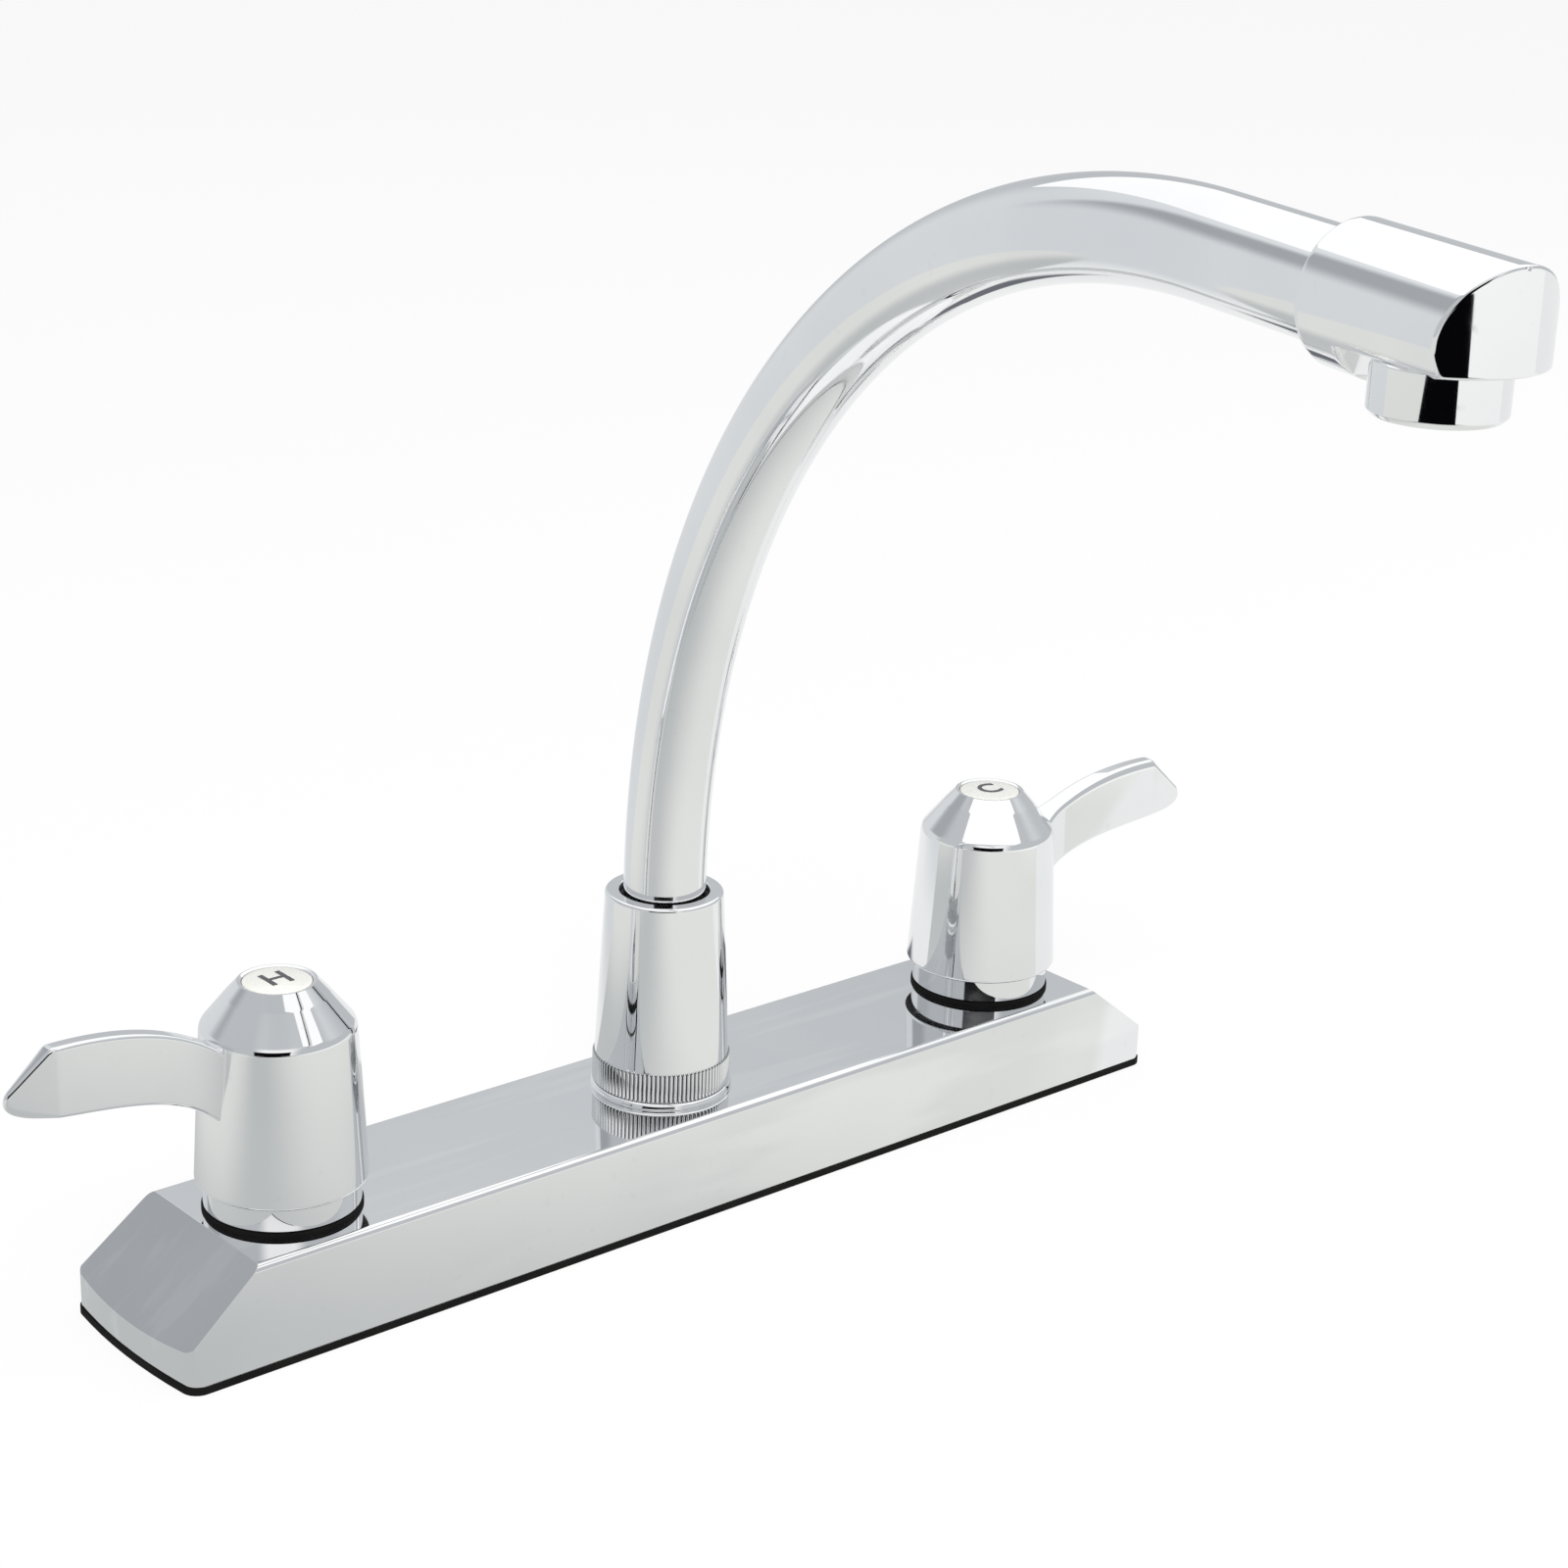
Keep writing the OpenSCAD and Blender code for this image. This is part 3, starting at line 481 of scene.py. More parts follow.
@dataclass(frozen=True)
class Metal:
    """Turned or drawn metal with tool lines, dull patches and darker stains."""

    tint: Place
    stain: Place
    rough: float
    line_mm: float
    depth: float = 0.25

    def paint(self, shader: Shader) -> None:
        """Build the metal's nodes."""
        lines = shader.noise(self.line_mm, 2.0, (0.06, 0.06, 1.0))
        patch = shader.noise(14, 4.0)
        shader.surface(
            {
                "Base Color": shader.mix(patch.step(0.45, 0.75) * 0.8, self.tint, self.stain),
                "Metallic": 1.0,
                "Roughness": self.rough + patch.step(0.4, 0.8) * 0.2 + lines * 0.08,
                "Normal": shader.bump(self.depth, 0.1, lines),
            }
        )


@dataclass(frozen=True)
class Moulding:
    """Moulded rubber, plastic or ceramic with a fine grain and a slight change of tone."""

    tint: Place
    shade: Place
    rough: float
    grain_mm: float
    depth: float
    coat: float = 0.0
    shine: float = 0.5

    def paint(self, shader: Shader) -> None:
        """Build the moulding's nodes."""
        tone = shader.noise(12, 3.0)
        grain = shader.noise(self.grain_mm, 3.0)
        dark = tone.step(0.3, 0.75) * 0.7 + grain * 0.2
        shader.surface(
            {
                "Base Color": shader.mix(dark, self.tint, self.shade),
                "Roughness": self.rough + grain * 0.12,
                "Coat Weight": self.coat,
                "Specular IOR Level": self.shine,
                "Normal": shader.bump(self.depth, 0.1, grain),
            }
        )


class Finish(Enum):
    """The finishes by slot: one to each of the record's, and three of the scene's own."""

    PLATE = "chrome_plate", Chrome(streak=0.45)
    HUB = "chrome_hub", Chrome(wave=0.012)
    HANDLE = "chrome_handle", Chrome(wave=0.02)
    SPOUT = "chrome_spout", Chrome(wave=0.012)
    GASKET = "gasket_rubber", Moulding(
        (0.005, 0.005, 0.005), (0.010, 0.010, 0.009), 0.7, 0.6, 0.3, 0.0, 0.12
    )
    SEAL = "seal_rubber", Moulding((0.02, 0.02, 0.02), (0.045, 0.045, 0.045), 0.45, 0.4, 0.2)
    BRASS = "brass", Metal((0.70, 0.50, 0.22), (0.46, 0.33, 0.16), 0.22, 0.35)
    COPPER = "copper", Metal((0.72, 0.36, 0.22), (0.42, 0.20, 0.13), 0.25, 0.6)
    CERAMIC = "ceramic", Moulding((0.86, 0.86, 0.84), (0.78, 0.78, 0.76), 0.18, 0.15, 0.05, 0.3)
    NYLON = "nylon", Moulding((0.80, 0.77, 0.69), (0.70, 0.67, 0.60), 0.42, 0.3, 0.12)
    NUT = "nut_plastic", Moulding((0.78, 0.75, 0.66), (0.66, 0.63, 0.55), 0.5, 0.5, 0.2)
    STEEL = "steel", Metal((0.62, 0.63, 0.64), (0.45, 0.45, 0.46), 0.3, 0.25)
    BUTTON = "button_plastic", Moulding(
        (0.86, 0.855, 0.81), (0.80, 0.79, 0.74), 0.16, 1.4, 0.03, 0.6
    )
    AERATOR = "aerator_plastic", Moulding((0.30, 0.31, 0.32), (0.22, 0.23, 0.24), 0.4, 0.3, 0.1)
    LETTER = "letter_ink", Moulding((0.02, 0.02, 0.025), (0.05, 0.05, 0.055), 0.3, 0.3, 0.05, 0.4)
    # Painted shade: a near-black metal on faces where shade falls, inside the handles, under their
    # steps and on the hub collar's top
    SHADE_PAINT = "painted_shade", Metal((0.035, 0.035, 0.037), (0.02, 0.02, 0.02), 0.5, 0.8, 0.4)
    # Painted shade in the knurl's grooves
    GROOVE_SHADE = "knurl_groove_shade", Metal((0.30, 0.305, 0.31), (0.14, 0.14, 0.145), 0.22, 0.5, 0.2)

    def __init__(self, slot: str, look: Chrome | Metal | Moulding) -> None:
        """Keep a member's slot and look."""
        self.slot = slot
        self.look = look


class Workshop:
    """Dresses each new piece and hands it to the frame. Each material is built once."""

    def __init__(self) -> None:
        """Start with no material built."""
        self.made: dict[Finish, Material] = {}

    def get(self, finish: Finish) -> Material:
        """Return the material of a finish, building it the first time."""
        if finish not in self.made:
            self.made[finish], shader = new_material(finish.slot)
            finish.look.paint(shader)
        return self.made[finish]

    def dress(self, obj: Object, finish: Finish) -> None:
        """Give an object one finish all over."""
        obj.data.materials.clear()
        obj.data.materials.append(self.get(finish))
        for face in obj.data.polygons:
            face.material_index = 0

    def patch(self, obj: Object, finish: Finish, test: Callable[[Vector, Vector], bool]) -> None:
        """Give faces another finish by a test on their middle in millimetres and normal."""
        obj.data.materials.append(self.get(finish))
        for face in obj.data.polygons:
            if test(face.center / MM, face.normal):
                face.material_index = len(obj.data.materials) - 1

    def hand_over(self, obj: Object, name: str, finish: Finish, body: str, node: str = "") -> None:
        """Name and dress a piece, and tie it to its CAD body.

        Args:
            obj: The finished piece.
            name: Its name.
            finish: Its finish, given to it if it has no material yet.
            body: The CAD body that it rides on.
            node: The CAD node that it replaces, if any.
        """
        take()
        obj.name = obj.data.name = name
        if not obj.data.materials:
            self.dress(obj, finish)
        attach(obj, body)
        if node:
            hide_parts(node)
        log.info("%s: %d faces", name, len(obj.data.polygons))


# The faucet


@dataclass
class DeckPlate:
    """The long plate, with leaning sides, bowed ends and sloping end facets."""

    length: float = 279.6
    width: float = 47.2
    top_width: float = 43.0
    foot: float = 1.6
    height: float = 21.9
    upright: float = 6.5
    slope: float = 38.4
    bow: float = 1.9
    bow_steps: int = 14
    corner: float = 3.5
    corner_steps: int = 12
    wall: float = 2.0
    long_edge: float = 1.5
    crease: float = 0.4
    crease_angle: float = 32.0
    holes: tuple[Pair, ...] = ((-HANDLE_X, 11.4), (0.0, 12.9), (HANDLE_X, 11.4))

    @property
    def top(self) -> float:
        """Return the level of the plate's top."""
        return self.foot + self.height

    def outline(self) -> list[Pair]:
        """Return the plate's outline from above, anticlockwise."""
        half, side, r = self.length / 2, self.width / 2, self.corner
        bow_r = (side**2 + self.bow**2) / (2 * self.bow)
        bow_x = half - bow_r
        middle = bow_x + sqrt((bow_r - r) ** 2 - (side - r) ** 2)
        reach = atan2(side - r, middle - bow_x)
        right = arc((bow_x, 0), bow_r, 0, reach, self.bow_steps)
        right += arc((middle, side - r), r, reach, QUARTER, self.corner_steps)[1:]
        left = [(-x, y) for x, y in reversed(right)]
        back = [(-x, -y) for x, y in right[1:]]
        return right + left + back + [(-x, -y) for x, y in left[:-1]]

    def build(self, shop: Workshop) -> None:
        """Model the plate: extrude its outline, cut its slopes, round its edges, hollow it."""
        ring = [(x, y, self.foot) for x, y in self.outline()]
        obj = chain([*ring, ring[0]])
        bpy.ops.mesh.select_all(action="SELECT")
        bpy.ops.mesh.remove_doubles(threshold=0.01 * MM)
        bpy.ops.mesh.edge_face_add()
        push((0, 0, self.height * MM))
        tidy()
        lean = atan((self.width - self.top_width) / 2 / self.height)
        slope = radians(self.slope)
        for side in (-1, 1):
            foot = (0, side * self.width / 2, self.foot)
            self.cut(foot, (0, side * cos(lean), sin(lean)))
            facet = (side * self.length / 2, 0, self.foot + self.upright)
            self.cut(facet, (side * sin(slope), 0, cos(slope)))
        tidy()
        self.round_long_edges(obj)
        self.hollow(obj)
        bevel(obj, self.crease, self.crease_angle)
        for x, r in self.holes:
            self.bore(obj, x, r)
        smooth(obj, 35)
        shop.hand_over(obj, "plate_casting", Finish.PLATE, "base", "deck_plate")

    def cut(self, at: Place, normal: Place) -> None:
        """Cut off what lies past a plane and close the cut."""
        bpy.ops.mesh.select_all(action="SELECT")
        plane = metres(at)
        bpy.ops.mesh.bisect(plane_co=plane, plane_no=normal, use_fill=True, clear_outer=True)

    def round_long_edges(self, obj: Object) -> None:
        """Round the two long top edges, which are wider than the creases."""
        shortest = self.length / 2

        def long(edge: bmesh.types.BMEdge) -> bool:
            """Tell whether an edge runs the length of the plate at its top."""
            a, b = (v.co / MM for v in edge.verts)
            return min(a.z, b.z) > self.top - 0.01 and abs(a.x - b.x) > shortest

        pick(obj, "edges", long)
        width = self.long_edge * MM
        bpy.ops.mesh.bevel(offset=width, segments=5, affect="EDGES", clamp_overlap=False)

    def hollow(self, obj: Object) -> None:
        """Inset the underside by the wall and push it up to the ceiling."""
        pick(obj, "faces", lambda face: face.normal.z < -0.9)
        bpy.ops.mesh.inset(thickness=self.wall * MM, depth=0)
        push((0, 0, (self.height - self.wall) * MM))
        facet = (self.height - self.upright) / tan(radians(self.slope))
        half = self.length / 2 - facet
        along = (half - 1.5 * self.wall) / (self.length / 2 - self.wall)
        across = (self.top_width / 2 - self.wall) / (self.width / 2 - self.wall)
        bpy.ops.transform.resize(value=(along, across, 1))
        bpy.ops.object.mode_set(mode="OBJECT")

    def bore(self, obj: Object, x: float, r: float) -> None:
        """Bore one hole through the plate's top."""
        drill = add(
            bpy.ops.mesh.primitive_cylinder_add,
            vertices=96,
            radius=r * MM,
            depth=3 * self.wall * MM,
            location=(x * MM, 0, self.top * MM),
        )
        modify(obj, "BOOLEAN", operation="DIFFERENCE", object=drill, solver="EXACT")
        bpy.data.objects.remove(drill)


@dataclass
class Handle:
    """One lever handle: a hollow casting with its blade, a black ring of painted shade under its
    foot, and its index button.

    Its pairs are (radius, height), and its places (radius, height, rounding) of a corner. The
    blade reaches from the root over the knee to the tip, all measured from the handle's axis.
    """

    side: str
    letter: str
    x: float
    turn: float
    foot: float = 24.6
    foot_edge: float = 0.3
    band_r: float = 16.61
    step: Place = (18.26, 30.1, 0.9)
    shoulder: Place = (16.26, 64.7, 3.2)
    crown: Place = (10.9, 71.3, 9.0)
    rim_r: float = 8.3
    rim_z: float = 74.2
    cavity_r: float = 14.86
    cavity_z: float = 60.0
    boss: Pair = (7.0, 42.0)
    spline_r: float = 4.05
    screw_r: float = 2.1
    screw_head: Pair = (4.2, 66.0)
    shade_ring_lip: float = 0.35
    shade_ring_clearance: float = 0.05
    button_r: float = 7.3
    button_z: float = 72.2
    button_foot: float = 69.6
    button_top: float = 74.4
    dome: float = 0.34
    letter_size: float = 8.4
    letter_depth: float = 0.05
    letter_weight: float = 0.12
    reach: float = 62.3
    knee: float = 52.5
    knee_z: float = 73.2
    depth: float = 15.3
    root: float = 14.36
    root_top: float = 10.7
    root_under: float = 27.7
    sag_at: float = 0.68
    root_half: float = 2.5
    tip_half: float = 1.9
    face_slope: float = 0.292
    tip_from: float = 0.75
    tip_round: float = 0.76
    edge: float = 0.9
    corner_points: int = 8
    flare: float = 5.6
    flare_end: float = 25.0

    def build(self, shop: Workshop) -> None:
        """Model the casting, the black ring of painted shade under its foot and its button, and
        set them on the handle's axis.
        """
        casting = join(self.skirt(), self.blade())
        shop.dress(casting, Finish.HANDLE)
        # Painted shade: the faces inside the casting and under its foot and step are near-black
        shop.patch(casting, Finish.SHADE_PAINT, self.shaded_face)
        settle(casting, self.turn, (self.x, 0, 0))
        smooth(casting, 38)
        name, body = self.side, f"{self.side}_lever"
        shop.hand_over(casting, f"{name}_handle_casting", Finish.HANDLE, body, f"{name}_handle")
        # Painted shade: a black rubber ring fills the dark gap under the foot
        shop.hand_over(self.gap_shade_ring(), f"{name}_foot_gap_shade", Finish.GASKET, "base")
        button = self.button(shop)
        shop.hand_over(button, f"{name}_button", Finish.BUTTON, body, f"{name}_index_button")

    def gap_shade_ring(self) -> Object:
        """Turn a black ring of painted shade that fills the gap between the plate and the
        casting's foot.
        """
        lip_r, top = self.band_r + self.shade_ring_lip, self.foot - self.shade_ring_clearance
        low = [(self.cavity_r, PLATE_TOP, 0), (lip_r, PLATE_TOP, 0)]
        ring = turned_ring([*low, (lip_r, top, 0.5), (self.cavity_r, top, 0)], steps=144)
        settle(ring, 0, (self.x, 0, 0))
        smooth(ring, 40)
        return ring

    def shaded_face(self, middle: Vector, normal: Vector) -> bool:
        """Tell whether a face is inside the casting, or looks down at its foot or its step, and so
        gets painted shade.
        """
        inside = middle.xy.length < self.cavity_r + 0.02 and middle.z < self.cavity_z + 0.02
        return inside or (middle.z < self.step[1] + 1 and normal.z < -0.7)

    def skirt(self) -> Object:
        """Turn the hollow skirt, crown, button pocket and splined boss."""
        wall = [(self.band_r - self.foot_edge, self.foot, 0)]
        wall += [(self.band_r, self.foot + self.foot_edge, 0), (self.band_r, self.step[1], 0)]
        crown = [self.step, self.shoulder, self.crown, (self.rim_r, self.rim_z, 0)]
        outside = rounded([*wall, *crown], closed=False, steps=12)
        (boss_r, boss_z), (head_r, head_z) = self.boss, self.screw_head
        button_r, top = self.button_r + 0.05, self.cavity_z
        pocket = [(self.rim_r - 0.35, self.rim_z + 0.02), (button_r, self.rim_z - 0.25)]
        pocket += [(button_r, self.button_z), (head_r, self.button_z), self.screw_head]
        pocket += [(self.screw_r, head_z), (self.screw_r, top), (self.spline_r, top)]
        pocket += [(self.spline_r, boss_z), self.boss, (boss_r, top), (self.cavity_r - 3, top)]
        pocket += [(self.cavity_r, top - 4), (self.cavity_r, self.foot)]
        return turned([*outside, *pocket, outside[0]], steps=160)

    def top_line(self) -> list[Pair]:
        """Return the blade's upper outline from the root to its furthest point."""
        mid, high = self.sag_at * self.knee, self.knee_z - 1.5
        first, knee = (self.root, self.knee_z - self.root_top), (self.knee, self.knee_z)
        top = bezier(first, (mid - 10, high - 0.4), (mid + 4, high + 1.6), knee, 40)
        turn = [(*top[-4], 0), (*knee, 1.6), (self.knee + 5, self.knee_z - 5, 0)]
        return [*top[:-4], *rounded(turn, closed=False, steps=6), *self.nose()[0]]

    @property
    def heel(self) -> Pair:
        """Return where the tip's curve meets the blade's lower outline."""
        return (self.knee + 4, self.knee_z - self.depth + 0.9)

    def nose(self) -> tuple[list[Pair], list[Pair]]:
        """Return the tip's outline above and below its furthest point, going outwards."""
        tip_z = self.knee_z - (self.reach - self.knee)
        first, second = (self.reach - 1.3, tip_z + 1.3), (self.reach + 0.4, tip_z - 1.3)
        line = bezier(first, second, (self.reach - 1, tip_z - 3.64), self.heel, 24)
        far = max(range(len(line)), key=lambda k: line[k][0])
        return line[: far + 1], line[: far - 1 : -1]

    def under_line(self) -> list[Pair]:
        """Return the blade's lower outline from the root to its furthest point."""
        mid, low = self.sag_at * self.knee, self.knee_z - self.depth
        first = (self.root, self.knee_z - self.root_under)
        line = bezier(first, (mid - 12, low - 0.2), (self.knee - 9, low - 1.4), self.heel, 40)
        return [*line[:-1], *self.nose()[1]]

    def blade(self) -> Object:
        """Skin the blade over its cross-sections, from inside the skirt to the tip."""
        top, under = self.top_line(), self.under_line()
        far = top[-1][0]
        stations = [self.root + 0.9 + 0.45 * k for k in range(24)]
        stations += [stations[-1] + 1.25 * k for k in range(1, 20)]
        stations += [self.knee - 2.3 + 0.3 * k for k in range(14)]
        tip = [self.knee + 2.2 + 0.42 * k for k in range(200)]
        stations += [x for x in tip if x < far - 1.0]
        stations += [far - 0.9 * (1 - k / 7) ** 2 - 0.012 for k in range(8)]
        rows = [self.rib(x, level(top, x), level(under, x), far) for x in stations]
        return skin(rows, close=True)

    def rib(self, x: float, top: float, under: float, far: float) -> list[Place]:
        """Return one closed cross-section of the blade.

        Args:
            x: The section's distance from the handle's axis.
            top: The blade's upper edge there.
            under: The blade's lower edge there.
            far: The distance of the tip.

        Returns:
            The section's points, corner by corner.
        """
        t = share((self.flare_end - x) / (self.flare_end - self.root))
        spread = (self.flare - self.root_half) * (0.35 * t**2 + 0.65 * t**3)
        ridge = self.knee - 1
        front = self.root_half + spread - soft_ramp(x - ridge, 0.25) * self.face_slope
        run = share((x - self.flare_end) / (self.knee - self.flare_end))
        back = -(self.root_half + (self.tip_half - self.root_half) * run) - spread
        past = max(x - far + self.tip_from, 0) / self.tip_round
        tuck = sqrt(max(1 - past**2, 0))
        middle, half = (front + back) / 2, (front - back) / 2 * tuck
        late = share((x - ridge) / 6)
        tall = (top - under) / 2
        edge = min(self.edge, half * 0.8)
        corners = (
            (1, 1, edge, min(self.edge, tall)),
            (-1, 1, min(1.5, half * 0.95), min(2.2 - 1.0 * late, tall)),
            (-1, -1, edge, min(1.0, tall)),
            (1, -1, edge, min(self.edge + 1.1 * late, tall)),
        )
        out = []
        for k, (sy, sz, ry, rz) in enumerate(corners):
            cy = middle + sy * (half - ry)
            cz = (top if sz > 0 else under) - sz * rz
            for i in range(self.corner_points):
                angle = QUARTER * (k + i / (self.corner_points - 1))
                out.append((x, cy + ry * cos(angle), cz + rz * sin(angle)))
        return out

    def button(self, shop: Workshop) -> Object:
        """Turn the domed button and lay its letter on it."""
        side, brow = self.button_r - 0.03, self.button_top - self.dome
        profile = [(0, self.button_foot), (4.1, self.button_foot), (4.1, self.button_z)]
        profile += [(side, self.button_z), (side, 73.75), (self.button_r - 0.12, 73.95)]
        for k in range(12):
            z = brow + self.dome * (1 - (1 - k / 12) ** 2)
            profile.append((self.button_r - 0.35 - 0.58 * k, z))
        cap = turned([*profile, (0, self.button_top)], steps=96)
        smooth(cap, 40)
        shop.dress(cap, Finish.BUTTON)
        letter = add(bpy.ops.object.text_add)
        letter.data.body = self.letter
        letter.data.align_x, letter.data.align_y = "CENTER", "CENTER"
        letter.data.size = self.letter_size * MM
        letter.data.extrude = self.letter_depth * MM
        letter.data.offset = self.letter_weight * MM
        bpy.ops.object.convert(target="MESH")
        edit(letter)
        done()
        shop.dress(letter, Finish.LETTER)
        settle(letter, 0, (0, 0, self.button_top))
        button = join(cap, letter)
        settle(button, self.turn - 180 if self.turn > 90 else self.turn, (self.x, 0, 0))
        return button


@dataclass
class Hub:
    """The knurled, tapered nut that holds the spout down, its base ring and its bushing."""

    foot: float = PLATE_TOP
    ring_r: float = 16.28
    ring_t: float = 1.6
    foot_r: float = 15.33
    top_r: float = 13.4
    top: float = 71.2
    mouth_r: float = 10.75
    lip_r: float = 10.2
    lip_edge: float = 0.35
    rim: float = 0.8
    knurl_r: float = 15.78
    knurl_h: float = 7.0
    ridges: int = 96
    wave: tuple[float, ...] = (1.0, 0.92, 0.45, 0.0, 0.45, 0.92)
    bore_r: float = 12.53
    flange_r: float = 12.0
    flange_low: float = 41.0
    flange_top: float = 47.8
    tube_r: float = 9.36
    bushing_top: float = 69.8
    bushing_h: float = 6.0

    @property
    def nut_z(self) -> float:
        """Return the level of the nut's underside."""
        return self.foot + self.ring_t

    def build(self, shop: Workshop) -> None:
        """Model the ring, the nut and the bushing."""
        edge = [(self.ring_r, self.foot, 0.3), (self.ring_r, self.nut_z, 1.0)]
        bore = [(self.bore_r, self.foot, 0), (self.bore_r, self.nut_z, 0)]
        ring = turned_ring([bore[0], *edge, bore[1]], steps=144)
        smooth(ring, 40)
        shop.hand_over(ring, "hub_base_ring", Finish.HUB, "base", "spout_base_ring")
        cone, knurl = self.cone(), self.knurl()
        shop.dress(cone, Finish.HUB)
        shop.dress(knurl, Finish.HUB)
        # Painted shade: the faces down in the knurl's grooves are darker
        groove_r = (self.foot_r + self.knurl_r) / 2
        shop.patch(knurl, Finish.GROOVE_SHADE, lambda middle, _: middle.xy.length < groove_r)
        nut = join(cone, knurl)
        smooth(nut, 40)
        shop.hand_over(nut, "hub_nut", Finish.HUB, "base", "spout_nut")
        low, outer_r = self.bushing_top - self.bushing_h, self.mouth_r - 0.05
        crest = [(outer_r, self.bushing_top, 0.3), (self.tube_r, self.bushing_top, 0.35)]
        bushing = turned_ring([(self.tube_r, low, 0), (outer_r, low, 0), *crest], steps=128)
        smooth(bushing, 40)
        shop.dress(bushing, Finish.HUB)
        # Painted shade: the collar's top, down in the nut's mouth, is painted near-black
        shop.patch(bushing, Finish.SHADE_PAINT, lambda _, normal: normal.z > 0.5)
        shop.hand_over(bushing, "hub_collar", Finish.HUB, "base", "hub_bushing")

    def cone(self) -> Object:
        """Turn the nut's tapered body with its stepped bore."""
        lip_z = self.bushing_top + 0.3
        corners = [(self.bore_r, self.nut_z, 0), (self.foot_r, self.nut_z, 0)]
        corners += [(self.foot_r, self.nut_z + self.knurl_h + 0.25, 0.2)]
        corners += [(self.top_r, self.top, self.rim), (self.lip_r, self.top, self.lip_edge)]
        corners += [(self.lip_r, lip_z, 0), (self.mouth_r, lip_z, 0)]
        corners += [(self.mouth_r, self.flange_top, 0), (self.flange_r, self.flange_top, 0)]
        corners += [(self.flange_r, self.flange_low, 0), (self.bore_r, self.flange_low, 0)]
        return turned_ring(corners, steps=160)

    def knurl(self) -> Object:
        """Extrude the ridged band from a circle whose vertices are drawn in to the grooves."""
        low, each = self.nut_z, len(self.wave)
        count = each * self.ridges
        obj = add(bpy.ops.mesh.primitive_circle_add, vertices=count, radius=self.knurl_r * MM)
        groove_r = self.foot_r + 0.02
        for v in obj.data.vertices:
            around = atan2(v.co.y, v.co.x) / TURN * each * self.ridges
            r = groove_r + (self.knurl_r - self.foot_r - 0.02) * self.wave[round(around) % each]
            v.co = Vector((v.co.x, v.co.y, 0)).normalized() * r * MM
        levels = [(low + 0.02, 0.985), (low + 0.35, 1.0)]
        levels += [(low + self.knurl_h - 0.4, 1.0), (low + self.knurl_h, 0.975)]
        edit(obj)
        bpy.ops.transform.translate(value=(0, 0, levels[0][0] * MM))
        bpy.ops.transform.resize(value=(levels[0][1], levels[0][1], 1))
        for (z0, s0), (z1, s1) in zip(levels, levels[1:]):
            push((0, 0, (z1 - z0) * MM))
            bpy.ops.transform.resize(value=(s1 / s0, s1 / s0, 1))
        push((0, 0, 0))
        bpy.ops.transform.resize(value=(0.96, 0.96, 1))
        pick_rims()
        bpy.ops.mesh.bridge_edge_loops()
        done()
        return obj


